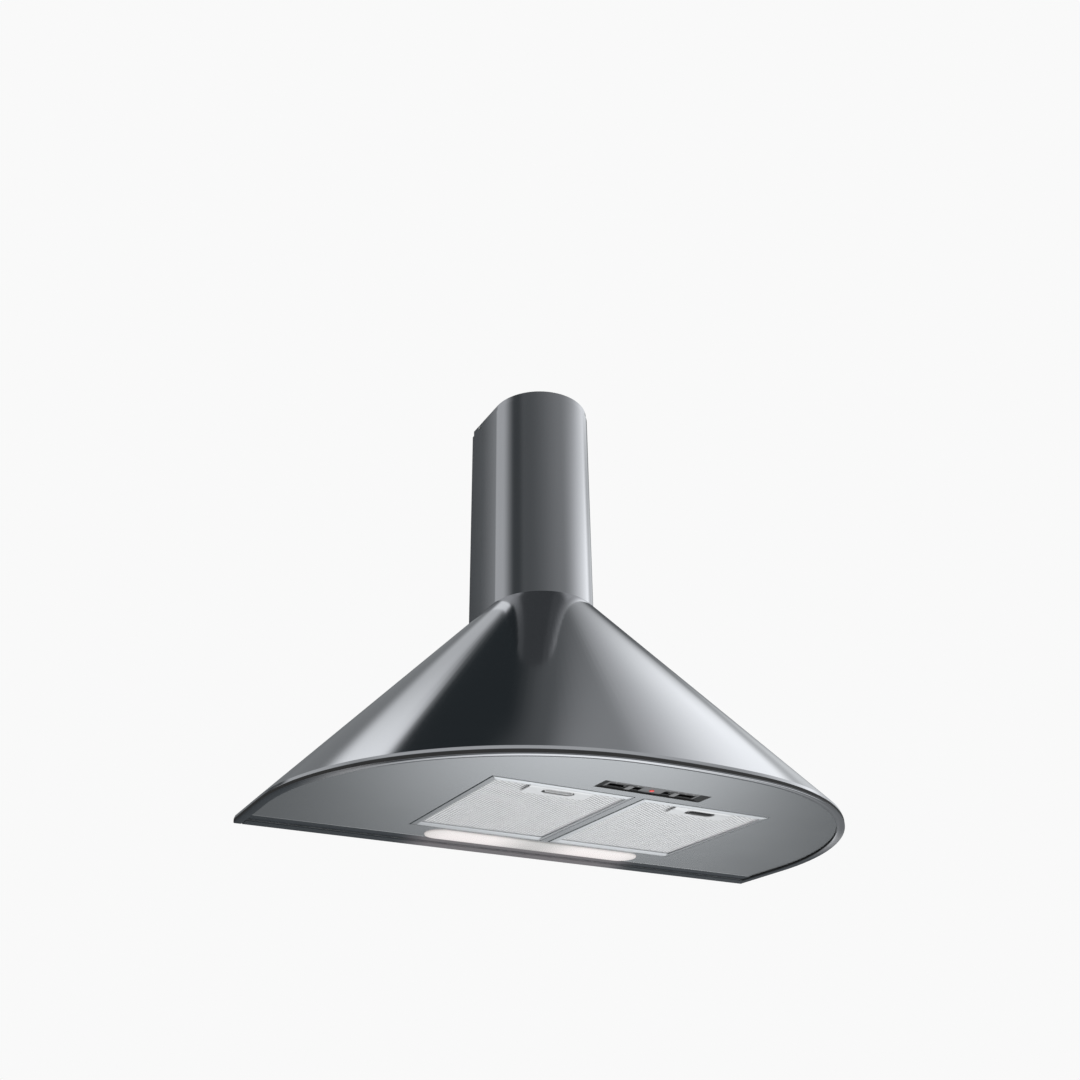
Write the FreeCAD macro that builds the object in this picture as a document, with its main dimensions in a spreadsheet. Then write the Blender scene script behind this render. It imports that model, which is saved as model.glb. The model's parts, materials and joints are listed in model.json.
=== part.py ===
import FreeCAD
import Part
import Sketcher
import math
import os

# Wall mount range hood. Millimetres, X to the right seen from the front, Y towards the wall, Z up.
# The wall plane is Y = 0 and the rim's lower edge is Z = 0; depths are measured from the wall to the front.

SIZES = (
    # canopy, rim and panel
    ("hood_width", 900.0),
    ("hood_depth", 510.0),
    ("corner_radius", 396.0),
    ("front_radius", 1030.0),
    ("canopy_height", 383.0),
    ("rim_height", 11.0),
    ("hem_width", 12.0),
    ("lip_height", 3.0),
    ("sheet", 1.0),
    ("canopy_skin", 1.4),
    ("panel_gap", 0.5),
    ("back_flange", 20.0),
    ("outlet_plate_drop", 19.0),
    ("outlet_plate_thick", 2.0),
    # chimney
    ("chimney_width", 175.0),
    ("chimney_round_depth", 96.0),
    ("chimney_length", 400.0),
    ("chimney_flange", 15.0),
    ("chimney_gap", 0.5),
    ("telescope_gap", 0.6),
    ("upper_rise", 12.0),
    ("bracket_height", 15.0),
    ("bracket_reach", 34.0),
    ("bracket_pitch_width", 90.0),
    ("bracket_hole_dia", 6.0),
    # wall fixings
    ("hang_pitch", 300.0),
    ("hang_height", 250.0),
    ("hang_hole_dia", 10.0),
    ("lock_pitch", 500.0),
    ("lock_height", 60.0),
    ("lock_hole_dia", 6.0),
    # filters
    ("filter_width", 215.0),
    ("filter_front_depth", 150.0),
    ("filter_rear_depth", 97.0),
    ("filter_thick", 10.0),
    ("filter_drop", 1.5),
    ("filter_bevel", 8.0),
    ("filter_border", 11.0),
    ("filter_gap", 0.8),
    ("filter_divider", 14.0),
    ("flange_height", 9.0),
    ("pivot_inset", 16.0),
    ("pivot_radius", 2.0),
    ("running_gap", 0.08),
    ("mesh_gap", 0.3),
    ("mesh_thick", 3.0),
    ("handle_width", 96.0),
    ("handle_depth", 34.0),
    ("handle_thick", 1.2),
    ("latch_length", 42.0),
    ("latch_width", 12.0),
    ("latch_travel", 5.0),
    ("latch_wall", 1.2),
    ("latch_rise", 8.5),
    ("latch_flange", 2.0),
    ("latch_gap", 0.3),
    ("latch_setback", 4.0),
    # lamp
    ("lamp_length", 366.0),
    ("lamp_width", 50.0),
    ("lamp_depth", 66.0),
    ("lamp_gap", 0.6),
    ("lamp_housing_height", 42.0),
    ("lamp_bulge", 2.0),
    ("bulb_radius", 12.0),
    ("holder_length", 42.0),
    # controls
    ("control_length", 168.0),
    ("control_width", 31.0),
    ("control_front", 101.0),
    ("control_recess", 2.2),
    ("control_end_bevel", 12.0),
    ("control_side_bevel", 2.0),
    ("control_wall", 1.5),
    ("control_fit", 0.3),
    ("tray_height", 22.0),
    ("slot_length", 50.0),
    ("slot_width", 9.0),
    ("slot_inner", 18.0),
    ("knob_length", 8.0),
    ("knob_position", 36.0),
    ("pilot_radius", 2.5),
    # blower
    ("spigot_depth", 96.0),
    ("spigot_radius", 60.0),
    ("spigot_length", 44.0),
    ("spigot_wall", 2.0),
    ("collar_flange", 14.0),
    ("blower_height", 192.0),
    ("scroll_start", 92.0),
    ("scroll_step", 11.0),
    ("scroll_wall", 2.0),
    ("scroll_width", 150.0),
    ("scroll_flange", 10.0),
    ("inlet_radius", 66.0),
    ("wheel_radius", 80.0),
    ("wheel_width", 128.0),
    ("wheel_ring", 11.0),
    ("blade_count", 30.0),
    ("shaft_radius", 4.0),
    ("motor_radius", 44.0),
    ("motor_length", 70.0),
    ("grommet_height", 4.0),
    ("mount_radius", 76.0),
    # damper
    ("flap_gap", 1.5),
    ("flap_thick", 1.2),
    ("damper_pin_radius", 1.5),
    # electrical
    ("box_width", 90.0),
    ("box_depth", 50.0),
    ("box_height", 60.0),
    ("box_wall", 2.0),
    ("box_side", 130.0),
    ("box_level", 110.0),
    ("capacitor_radius", 17.5),
    ("capacitor_height", 70.0),
    ("cable_radius", 3.0),
    ("screw_radius", 2.0),
    ("screw_head_radius", 3.8),
    ("screw_head_height", 2.4),
)

doc = FreeCAD.newDocument("range_hood")
sheet = doc.addObject("Spreadsheet::Sheet", "sizes")
for row, (alias, number) in enumerate(SIZES, start=1):
    sheet.set(f"A{row}", alias)
    sheet.set(f"B{row}", str(number))
    sheet.setAlias(f"B{row}", alias)
doc.recompute()


class Size:
    """A length held as a formula over the sheet's cells, together with its present value."""

    def __init__(self, text, value):
        self.text = text
        self.value = float(value)

    def __add__(self, other):
        other = as_size(other)
        return Size(f"({self.text} + {other.text})", self.value + other.value)

    def __sub__(self, other):
        other = as_size(other)
        return Size(f"({self.text} - {other.text})", self.value - other.value)

    def __mul__(self, other):
        other = as_size(other)
        return Size(f"({self.text} * {other.text})", self.value * other.value)

    def __truediv__(self, other):
        other = as_size(other)
        return Size(f"({self.text} / {other.text})", self.value / other.value)

    def __neg__(self):
        return Size(f"(0 - {self.text})", -self.value)

    def __radd__(self, other):
        return as_size(other) + self

    def __rsub__(self, other):
        return as_size(other) - self

    def __rmul__(self, other):
        return as_size(other) * self


def as_size(value):
    return value if isinstance(value, Size) else Size(f"{float(value)!r}", value)


def root(size):
    return Size(f"sqrt({size.text})", math.sqrt(size.value))


class Cells:
    """The sheet's cells by alias."""

    def __getattr__(self, alias):
        return Size(f"sizes.{alias}", getattr(sheet, alias))


cell = Cells()
pieces = []


# Loops of sketch edges. A point is a pair of sizes.

def point(x, y):
    return (as_size(x), as_size(y))


def line(start, end):
    return ("line", start, end)


def arc(start, end, centre, turn):
    """Arc from start to end about centre, turn +1 counter-clockwise or -1 clockwise."""
    return ("arc", start, end, centre, turn)


def circle(centre, radius):
    return [("circle", centre, as_size(radius))]


def polygon(*corners):
    return [line(corner, corners[(n + 1) % len(corners)]) for n, corner in enumerate(corners)]


def rectangle(x0, x1, y0, y1):
    return polygon(point(x0, y0), point(x1, y0), point(x1, y1), point(x0, y1))


def pill(x_mid, y_mid, length, width):
    x_mid, y_mid, length, width = (as_size(v) for v in (x_mid, y_mid, length, width))
    reach = (length - width) / 2
    low, high = y_mid - width / 2, y_mid + width / 2
    left, right = x_mid - reach, x_mid + reach
    return [
        line(point(left, low), point(right, low)),
        arc(point(right, low), point(right, high), point(right, y_mid), 1),
        line(point(right, high), point(left, high)),
        arc(point(left, high), point(left, low), point(left, y_mid), 1),
    ]


def reverse(edges):
    flipped = []
    for edge in reversed(edges):
        if edge[0] == "line":
            flipped.append(line(edge[2], edge[1]))
        else:
            flipped.append(arc(edge[2], edge[1], edge[3], -edge[4]))
    return flipped


def draw(sketch, loops):
    """Put the loops into the sketch, every corner and centre bound to its sizes."""
    geometry = []
    rules = []
    formulas = []

    def bind(index, place, axis, size):
        formulas.append((len(rules), size.text))
        rules.append(Sketcher.Constraint("Distance" + axis, -1, 1, index, place, size.value))

    def bind_both(index, place, where):
        bind(index, place, "X", where[0])
        bind(index, place, "Y", where[1])

    for loop in loops:
        base = len(geometry)
        ends = []
        for edge in loop:
            index = len(geometry)
            if edge[0] == "circle":
                centre, radius = edge[1], edge[2]
                spot = FreeCAD.Vector(centre[0].value, centre[1].value, 0)
                geometry.append(Part.Circle(spot, FreeCAD.Vector(0, 0, 1), radius.value))
                bind_both(index, 3, centre)
                formulas.append((len(rules), radius.text))
                rules.append(Sketcher.Constraint("Radius", index, radius.value))
                continue
            start = FreeCAD.Vector(edge[1][0].value, edge[1][1].value, 0)
            end = FreeCAD.Vector(edge[2][0].value, edge[2][1].value, 0)
            if edge[0] == "line":
                geometry.append(Part.LineSegment(start, end))
                ends.append((index, 1, 2))
                continue
            centre, turn = edge[3], edge[4]
            spot = FreeCAD.Vector(centre[0].value, centre[1].value, 0)
            around = Part.Circle(spot, FreeCAD.Vector(0, 0, 1), (start - spot).Length)
            first, last = (start, end) if turn > 0 else (end, start)
            a0 = math.atan2(first.y - spot.y, first.x - spot.x)
            a1 = math.atan2(last.y - spot.y, last.x - spot.x)
            if a1 <= a0:
                a1 += 2 * math.pi
            geometry.append(Part.ArcOfCircle(around, a0, a1))
            ends.append((index, 1, 2) if turn > 0 else (index, 2, 1))
            bind_both(index, 3, centre)
        if loop[0][0] == "circle":
            continue
        for n, edge in enumerate(loop):
            before = loop[n - 1]
            index, place = ends[n][0], ends[n][1]
            rules.append(Sketcher.Constraint("Coincident", ends[n - 1][0], ends[n - 1][2], index, place))
            if before[0] == "line":
                bind_both(index, place, edge[1])
                continue
            out_x = edge[1][0].value - before[3][0].value
            out_y = edge[1][1].value - before[3][1].value
            if abs(out_y) > abs(out_x):
                bind(index, place, "X", edge[1][0])
            else:
                bind(index, place, "Y", edge[1][1])
    sketch.addGeometry(geometry, False)
    sketch.addConstraint(rules)
    for index, text in formulas:
        sketch.setExpression(f"Constraints[{index}]", text)


class Piece:
    """A body built up from sketches on its own origin planes.

    "XY" takes plan sketches, "XZ" front views pushed out from the wall and "YZ" side views."""

    def __init__(self, label):
        self.body = doc.addObject("PartDesign::Body", label)
        self.body.Label = label
        self.count = 0
        pieces.append(self.body)

    def sketch(self, plane, height, loops):
        self.count += 1
        origin = [f for f in self.body.Origin.OriginFeatures if f.Role == plane + "_Plane"][0]
        sketch = self.body.newObject("Sketcher::SketchObject", f"{self.body.Label}_sketch_{self.count}")
        sketch.AttachmentSupport = (origin, [""])
        sketch.MapMode = "FlatFace"
        sketch.setExpression("AttachmentOffset.Base.z", as_size(height).text)
        draw(sketch, loops)
        return sketch

    def add(self, plane, start, length, *loops):
        feature_sketch = self.sketch(plane, start, loops)
        pad = self.body.newObject("PartDesign::Pad", f"{self.body.Label}_pad_{self.count}")
        pad.Profile = feature_sketch
        pad.setExpression("Length", as_size(length).text)
        feature_sketch.Visibility = False
        self.body.Tip = pad
        return pad

    def cut(self, plane, start, length, *loops):
        feature_sketch = self.sketch(plane, as_size(start) + length, loops)
        pocket = self.body.newObject("PartDesign::Pocket", f"{self.body.Label}_pocket_{self.count}")
        pocket.Profile = feature_sketch
        pocket.setExpression("Length", as_size(length).text)
        feature_sketch.Visibility = False
        self.body.Tip = pocket
        return pocket

    def loft(self, kind, low, low_loop, high, high_loop):
        first = self.sketch("XY", low, [low_loop])
        second = self.sketch("XY", high, [high_loop])
        loft = self.body.newObject(f"PartDesign::{kind}Loft", f"{self.body.Label}_loft_{self.count}")
        loft.Profile = first
        loft.Sections = [second]
        loft.Ruled = True
        self.body.Tip = loft
        return loft

    def spin_copies(self, feature, axis_role, number):
        axis = [f for f in self.body.Origin.OriginFeatures if f.Role == axis_role][0]
        pattern = self.body.newObject("PartDesign::PolarPattern", f"{self.body.Label}_ring")
        pattern.Originals = [feature]
        pattern.Axis = (axis, [""])
        pattern.Angle = 360
        pattern.setExpression("Occurrences", number.text)
        self.body.Tip = pattern
        return pattern

    def round_edges(self, chosen, radius):
        """Round the edges of the present shape that the function chosen picks."""
        doc.recompute()
        tip = self.body.Tip
        names = [f"Edge{n}" for n, edge in enumerate(tip.Shape.Edges, start=1) if chosen(edge)]
        fillet = self.body.newObject("PartDesign::Fillet", f"{self.body.Label}_round_{self.count}")
        fillet.Base = (tip, names)
        fillet.setExpression("Radius", as_size(radius).text)
        self.body.Tip = fillet
        return fillet

    def place(self, x, y, z):
        for axis, value in zip("xyz", (x, y, z)):
            self.body.setExpression(f"Placement.Base.{axis}", as_size(value).text)


def put(feature, x, y, z):
    for axis, value in zip("xyz", (x, y, z)):
        feature.setExpression(f"Placement.Base.{axis}", as_size(value).text)


def rod(name, radius, length, x, y, z, towards):
    """A plain cylinder from the given point along the direction towards."""
    feature = doc.addObject("Part::Cylinder", name)
    feature.setExpression("Radius", as_size(radius).text)
    feature.setExpression("Height", as_size(length).text)
    feature.Placement.Rotation = FreeCAD.Rotation(FreeCAD.Vector(0, 0, 1), FreeCAD.Vector(*towards))
    put(feature, x, y, z)
    return feature


def group(label, members):
    """Several separate solids kept as one piece."""
    compound = doc.addObject("Part::Compound", label)
    compound.Label = label
    compound.Links = members
    pieces.append(compound)
    return compound


def screws(label, spots, towards, shank):
    """Screws with a round head on a face at each spot and a shank running along towards."""
    members = []
    for n, (x, y, z) in enumerate(spots):
        base = [as_size(v) for v in (x, y, z)]
        head_at = [b - cell.screw_head_height * t for b, t in zip(base, towards)]
        head = rod(f"{label}_head_{n}", cell.screw_head_radius, cell.screw_head_height, *head_at, towards)
        stem = rod(f"{label}_stem_{n}", cell.screw_radius, shank, *base, towards)
        whole = doc.addObject("Part::Fuse", f"{label}_{n}")
        whole.Base = head
        whole.Tool = stem
        members.append(whole)
    return group(label, members)


# The hood's plan outline. level is 0 at the rim and 1 where the canopy meets the chimney.

half_width = cell.hood_width / 2
corner_offset = half_width - cell.corner_radius
lean_sine = corner_offset / (cell.front_radius - cell.corner_radius)
lean_cosine = root(1 - lean_sine * lean_sine)
front_centre = cell.front_radius - cell.hood_depth
side_depth = (cell.front_radius - cell.corner_radius) * lean_cosine - front_centre
top_half = cell.chimney_width / 2 + cell.chimney_gap + cell.canopy_skin
canopy_rise = cell.canopy_height - cell.rim_height


def between(low, high, level):
    return low + (high - low) * level


def plan_path(level, inset):
    """Right side, corner, front, corner and left side of the outline, drawn in by inset."""
    level = as_size(level)
    inset = as_size(inset)
    across = between(half_width, top_half, level) - inset
    corner_x = corner_offset * (1 - level)
    side_y = -between(side_depth, cell.chimney_round_depth, level)
    front_y = between(front_centre, -cell.chimney_round_depth, level)
    front = between(cell.front_radius, top_half, level) - inset
    turn_x = front * lean_sine
    turn_y = front_y - front * lean_cosine

    def path(rear):
        right_turn = point(turn_x, turn_y)
        left_turn = point(-turn_x, turn_y)
        right_side = point(across, side_y)
        left_side = point(-across, side_y)
        return [
            line(point(across, rear), right_side),
            arc(right_side, right_turn, point(corner_x, side_y), -1),
            arc(right_turn, left_turn, point(0, front_y), -1),
            arc(left_turn, left_side, point(-corner_x, side_y), -1),
            line(left_side, point(-across, rear)),
        ]

    return path


def plan_loop(level, inset, rear):
    path = plan_path(level, inset)(rear)
    return path + [line(path[-1][2], path[0][1])]


def plan_band(inset_out, inset_in):
    """A strip along the rim between two insets, open at the wall."""
    outer = plan_path(0, inset_out)(0)
    inner = reverse(plan_path(0, inset_in)(0))
    return outer + [line(outer[-1][2], inner[0][1])] + inner + [line(inner[-1][2], outer[0][1])]


def level_at(z):
    return (z - cell.rim_height) / canopy_rise


# Steel body: rim, canopy, back and underside

past_wall = cell.back_flange / 2

rim = Piece("rim_frame")
rim.add("XY", 0, cell.sheet, plan_band(0, cell.hem_width))
rim.add("XY", 0, cell.rim_height, plan_band(0, cell.sheet))
rim.add("XY", 0, cell.lip_height, plan_band(cell.hem_width - cell.sheet, cell.hem_width))

canopy = Piece("canopy")
canopy.loft("Additive", cell.rim_height, plan_loop(0, 0, 0), cell.canopy_height, plan_loop(1, 0, 0))
canopy.loft("Subtractive", cell.rim_height, plan_loop(0, cell.canopy_skin, past_wall),
            cell.canopy_height, plan_loop(1, cell.canopy_skin, past_wall))

outlet_plate_z = cell.canopy_height - cell.outlet_plate_drop
outlet_plate_under = outlet_plate_z - cell.outlet_plate_thick
spigot_y = -cell.spigot_depth
spigot_bore = cell.spigot_radius - cell.spigot_wall

back = Piece("back_panel")
foot_half = half_width - cell.hem_width - cell.panel_gap
inner_low = half_width - cell.canopy_skin - cell.panel_gap
inner_top = top_half - cell.canopy_skin - cell.panel_gap
knee_level = (inner_low - foot_half) / (inner_low - inner_top)
knee_z = cell.rim_height + canopy_rise * knee_level
head_half = between(inner_low, inner_top, level_at(outlet_plate_under))
hang_x = cell.hang_pitch / 2
lock_x = cell.lock_pitch / 2
back.add("XZ", 0, cell.sheet,
         polygon(point(-foot_half, 0), point(foot_half, 0), point(foot_half, knee_z),
                 point(head_half, outlet_plate_under), point(-head_half, outlet_plate_under),
                 point(-foot_half, knee_z)),
         circle(point(-hang_x, cell.hang_height), cell.hang_hole_dia / 2),
         circle(point(hang_x, cell.hang_height), cell.hang_hole_dia / 2),
         circle(point(-lock_x, cell.lock_height), cell.lock_hole_dia / 2),
         circle(point(lock_x, cell.lock_height), cell.lock_hole_dia / 2))
back.add("XZ", 0, cell.back_flange, rectangle(-foot_half, foot_half, 0, cell.sheet))
back.add("XZ", cell.back_flange - cell.sheet, cell.sheet,
         rectangle(-foot_half, foot_half, 0, cell.lip_height))

outlet_plate = Piece("outlet_plate")
outlet_plate.add("XY", outlet_plate_under, cell.outlet_plate_thick,
                 plan_loop(level_at(outlet_plate_z), cell.canopy_skin + cell.panel_gap, 0),
                 circle(point(0, spigot_y), spigot_bore))

# Filter places: one on each side of the divider

panel_z = cell.lip_height
panel_top = panel_z + cell.sheet
filter_near = cell.filter_divider / 2
filter_far = filter_near + cell.filter_width
filter_front = cell.hood_depth - cell.filter_front_depth
filter_low = panel_z - cell.filter_drop
filter_top = filter_low + cell.filter_thick
pivot_y = -(cell.filter_rear_depth + cell.pivot_inset)
pivot_z = panel_z + cell.pivot_radius + cell.filter_gap
SIDES = (("left", -1), ("right", 1))


def sided(side, a, b):
    """The interval a to b of the right half, or its mirror image on the left."""
    return (a, b) if side > 0 else (-b, -a)


def bay(side, grow):
    x0, x1 = sided(side, filter_near - grow, filter_far + grow)
    return rectangle(x0, x1, -(filter_front + grow), -(cell.filter_rear_depth - grow))


def control_rect(grow_x, grow_y):
    mid = -(cell.hood_depth - cell.control_front - cell.control_width / 2)
    reach_x = cell.control_length / 2 + grow_x
    reach_y = cell.control_width / 2 + grow_y
    return rectangle(-reach_x, reach_x, mid - reach_y, mid + reach_y)


def lamp_pill(grow):
    return pill(0, -cell.lamp_depth, cell.lamp_length + grow * 2, cell.lamp_width + grow * 2)


panel = Piece("underside_panel")
panel_inset = cell.sheet + cell.panel_gap
panel.add("XY", panel_z, cell.sheet,
          plan_loop(0, panel_inset, -panel_inset),
          bay(-1, cell.filter_gap), bay(1, cell.filter_gap),
          lamp_pill(as_size(0)), control_rect(as_size(0), as_size(0)))
for label, side in SIDES:
    panel.add("XY", panel_z, cell.flange_height,
              bay(side, cell.filter_gap + cell.sheet), bay(side, cell.filter_gap))
pivot_reach = cell.filter_gap + cell.sheet * 2
for label, side in SIDES:
    for edge in (filter_near - pivot_reach, filter_far):
        x0, x1 = sided(side, edge, edge + pivot_reach)
        panel.cut("YZ", x0, pivot_reach,
                  circle(point(pivot_y, pivot_z), cell.pivot_radius + cell.running_gap))

# Filters: cassette frame, mesh, handle plate and sliding latch

handle_front = -(filter_front - cell.filter_bevel / 2)
handle_rear = handle_front + cell.handle_depth
latch_y = handle_front + cell.handle_depth * 0.44
slot_y = latch_y + cell.latch_travel / 2
tongue_half = cell.latch_width / 2
tongue_low = filter_low + cell.filter_thick * 0.3
tongue_high = filter_low + cell.filter_thick * 0.55

for label, side in SIDES:
    near, far = sided(side, filter_near, filter_far)
    mid_x = side * (filter_near + filter_far) / 2

    frame = Piece(f"filter_frame_{label}")
    edge_z = filter_low + cell.filter_drop * 0.75
    bevel_low = rectangle(near + cell.filter_bevel, far - cell.filter_bevel,
                          -(filter_front - cell.filter_bevel), -(cell.filter_rear_depth + cell.filter_bevel))
    frame.loft("Additive", filter_low, bevel_low, edge_z, bay(side, as_size(0)))
    frame.add("XY", edge_z, filter_top - edge_z, bay(side, as_size(0)))
    frame.cut("XY", filter_low, cell.filter_thick,
              rectangle(near + cell.filter_border, far - cell.filter_border,
                        -(filter_front - cell.filter_border), -(cell.filter_rear_depth + cell.filter_border)))
    frame.cut("XZ", filter_front - cell.filter_border, cell.filter_border,
              rectangle(mid_x - tongue_half - cell.latch_gap, mid_x + tongue_half + cell.latch_gap,
                        tongue_low - cell.latch_gap, tongue_high + cell.latch_gap))
    for at in (near - pivot_reach, far):
        frame.add("YZ", at, pivot_reach, circle(point(pivot_y, pivot_z), cell.pivot_radius))

    mesh = Piece(f"filter_mesh_{label}")
    mesh_inset = cell.filter_border + cell.mesh_gap
    mesh_low = filter_low + cell.mesh_gap
    mesh.add("XY", mesh_low, cell.mesh_thick,
             rectangle(near + mesh_inset, far - mesh_inset,
                       -(filter_front - mesh_inset), -(cell.filter_rear_depth + mesh_inset)))
    well_x = cell.latch_length / 2 + cell.latch_flange * 2 + cell.filter_gap
    well_rear = handle_rear - cell.filter_gap
    mesh.cut("XY", mesh_low, cell.mesh_thick,
             rectangle(mid_x - well_x, mid_x + well_x, -filter_front, well_rear))

    handle = Piece(f"filter_handle_{label}")
    handle_low = filter_low - cell.handle_thick
    handle.add("XY", handle_low, cell.handle_thick,
               rectangle(mid_x - cell.handle_width / 2, mid_x + cell.handle_width / 2,
                         handle_front, handle_rear),
               pill(mid_x, slot_y, cell.latch_length + cell.latch_gap * 2 + cell.latch_travel,
                    cell.latch_width + cell.latch_travel + cell.latch_gap * 2))

    latch = Piece(f"filter_latch_{label}")
    latch.add("XY", handle_low, cell.latch_rise + cell.handle_thick,
              pill(mid_x, latch_y, cell.latch_length, cell.latch_width))
    latch.add("XY", filter_low + cell.latch_gap / 3, cell.latch_flange * 0.6,
              pill(mid_x, slot_y, cell.latch_length + cell.latch_flange * 4,
                   cell.latch_width + cell.latch_travel + cell.latch_flange))
    latch.add("XZ", -latch_y, filter_front + latch_y - cell.latch_setback,
              rectangle(mid_x - tongue_half, mid_x + tongue_half, tongue_low, tongue_high))
    latch.cut("XY", handle_low, cell.latch_rise + cell.handle_thick - cell.latch_wall,
              pill(mid_x, latch_y, cell.latch_length - cell.latch_wall * 2,
                   cell.latch_width - cell.latch_wall * 2))

# Chimney covers and their wall bracket

chimney_half = cell.chimney_width / 2
round_y = -cell.chimney_round_depth


def chimney_loop(half, rear):
    """A sheet bent round the front with return flanges at the wall side."""
    inner = half - cell.sheet
    lip = half - cell.chimney_flange
    fold = rear - cell.sheet
    right = [
        line(point(half, rear), point(half, round_y)),
        arc(point(half, round_y), point(-half, round_y), point(0, round_y), -1),
        line(point(-half, round_y), point(-half, rear)),
    ]
    corners = (point(-half, rear), point(-lip, rear), point(-lip, fold), point(-inner, fold),
               point(-inner, round_y))
    left = [line(corners[n], corners[n + 1]) for n in range(len(corners) - 1)]
    inside = [arc(point(-inner, round_y), point(inner, round_y), point(0, round_y), 1)]
    corners = (point(inner, round_y), point(inner, fold), point(lip, fold), point(lip, rear),
               point(half, rear))
    close = [line(corners[n], corners[n + 1]) for n in range(len(corners) - 1)]
    return right + left + inside + close


lower_top = outlet_plate_z + cell.chimney_length
lower = Piece("chimney_lower")
lower.add("XY", outlet_plate_z, cell.chimney_length, chimney_loop(chimney_half, as_size(0)))

upper_half = chimney_half - cell.sheet - cell.telescope_gap
upper_rear = -(cell.sheet + cell.telescope_gap)
upper_foot = outlet_plate_z + cell.spigot_wall + cell.telescope_gap
upper_top = lower_top + cell.upper_rise
screw_z = lower_top + cell.upper_rise / 2
ear_y = -(cell.bracket_reach - cell.screw_head_radius * 2)
upper = Piece("chimney_upper")
upper.add("XY", upper_foot, upper_top - upper_foot, chimney_loop(upper_half, upper_rear))
upper.cut("YZ", -cell.chimney_width, cell.chimney_width * 2,
          circle(point(ear_y, screw_z), cell.screw_radius + cell.running_gap))
vent_slots = []
for n in range(8):
    vent_z = lower_top - cell.chimney_length * (0.08 + 0.03 * n)
    vent_slots.append(rectangle(round_y - cell.chimney_width * 0.12, round_y + cell.chimney_width * 0.3,
                                vent_z, vent_z + cell.chimney_length * 0.012))
upper.cut("YZ", -cell.chimney_width, cell.chimney_width * 2, *vent_slots)

bracket = Piece("chimney_bracket")
bracket_thick = cell.sheet * 1.5
bracket_z = upper_top - cell.bracket_height
plate_half = upper_half - cell.chimney_flange - cell.telescope_gap * 2
ear_out = upper_half - cell.sheet
fold_out = upper_rear - cell.sheet
fold_in = fold_out - bracket_thick
ear_in = ear_out - bracket_thick
reach = -cell.bracket_reach
step_in = plate_half - bracket_thick
hat = [point(plate_half, 0), point(plate_half, fold_out), point(ear_out, fold_out), point(ear_out, reach),
       point(ear_in, reach), point(ear_in, fold_in), point(step_in, fold_in), point(step_in, -bracket_thick)]
hat += [point(-x, y) for x, y in reversed(hat)]
bracket.add("XY", bracket_z, cell.bracket_height, polygon(*hat))
pitch_x = cell.bracket_pitch_width / 2
hole_z = bracket_z + cell.bracket_height / 2
bracket.cut("XZ", 0, bracket_thick,
            circle(point(-pitch_x, hole_z), cell.bracket_hole_dia / 2),
            circle(point(pitch_x, hole_z), cell.bracket_hole_dia / 2))
bracket.cut("YZ", -cell.chimney_width, cell.chimney_width * 2,
            circle(point(ear_y, screw_z), cell.screw_radius + cell.running_gap))

chimney_screws = []
for n, side in enumerate((-1, 1)):
    head = rod(f"chimney_head_{n}", cell.screw_head_radius, cell.screw_head_height * 0.6,
               side * upper_half, ear_y, screw_z, (side, 0, 0))
    stem = rod(f"chimney_stem_{n}", cell.screw_radius, cell.sheet * 4,
               side * upper_half, ear_y, screw_z, (-side, 0, 0))
    whole = doc.addObject("Part::Fuse", f"chimney_screw_{n}")
    whole.Base = head
    whole.Tool = stem
    chimney_screws.append(whole)
group("chimney_screws", chimney_screws)

# Blower: scroll halves, wheel, shaft, motor and its mounting

scroll_mid = cell.scroll_start + cell.scroll_step
scroll_end = scroll_mid + cell.scroll_step
blower_y = -(cell.spigot_depth + scroll_end / 2)
blower_z = cell.blower_height
half_step = cell.scroll_step / 2
half_scroll = cell.scroll_width / 2


def scroll_loop(inset, top):
    """Three quarter rounds that open out towards the outlet, seen from the right."""
    inset = as_size(inset)
    first, second, third = cell.scroll_start - inset, scroll_mid - inset, scroll_end - inset
    centre_1 = point(blower_y - half_step, blower_z - half_step)
    centre_2 = point(blower_y + half_step, blower_z - half_step)
    centre_3 = point(blower_y + half_step, blower_z + half_step)
    tongue = point(centre_1[0] + inset, blower_z - half_step + root(first * first - inset * inset))
    left = point(centre_1[0] - first, centre_1[1])
    bottom = point(centre_2[0], centre_2[1] - second)
    right = point(centre_3[0] + third, centre_3[1])
    return [
        arc(tongue, left, centre_1, 1),
        arc(left, bottom, centre_2, 1),
        arc(bottom, right, centre_3, 1),
        line(right, point(right[0], top)),
        line(point(right[0], top), point(tongue[0], top)),
        line(point(tongue[0], top), tongue),
    ]


def mount_spot(n, radius):
    """One of three places round the motor axis, in side view."""
    turn = math.radians(60 + 120 * n)
    return point(blower_y + radius * math.cos(turn), blower_z + radius * math.sin(turn))


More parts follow.
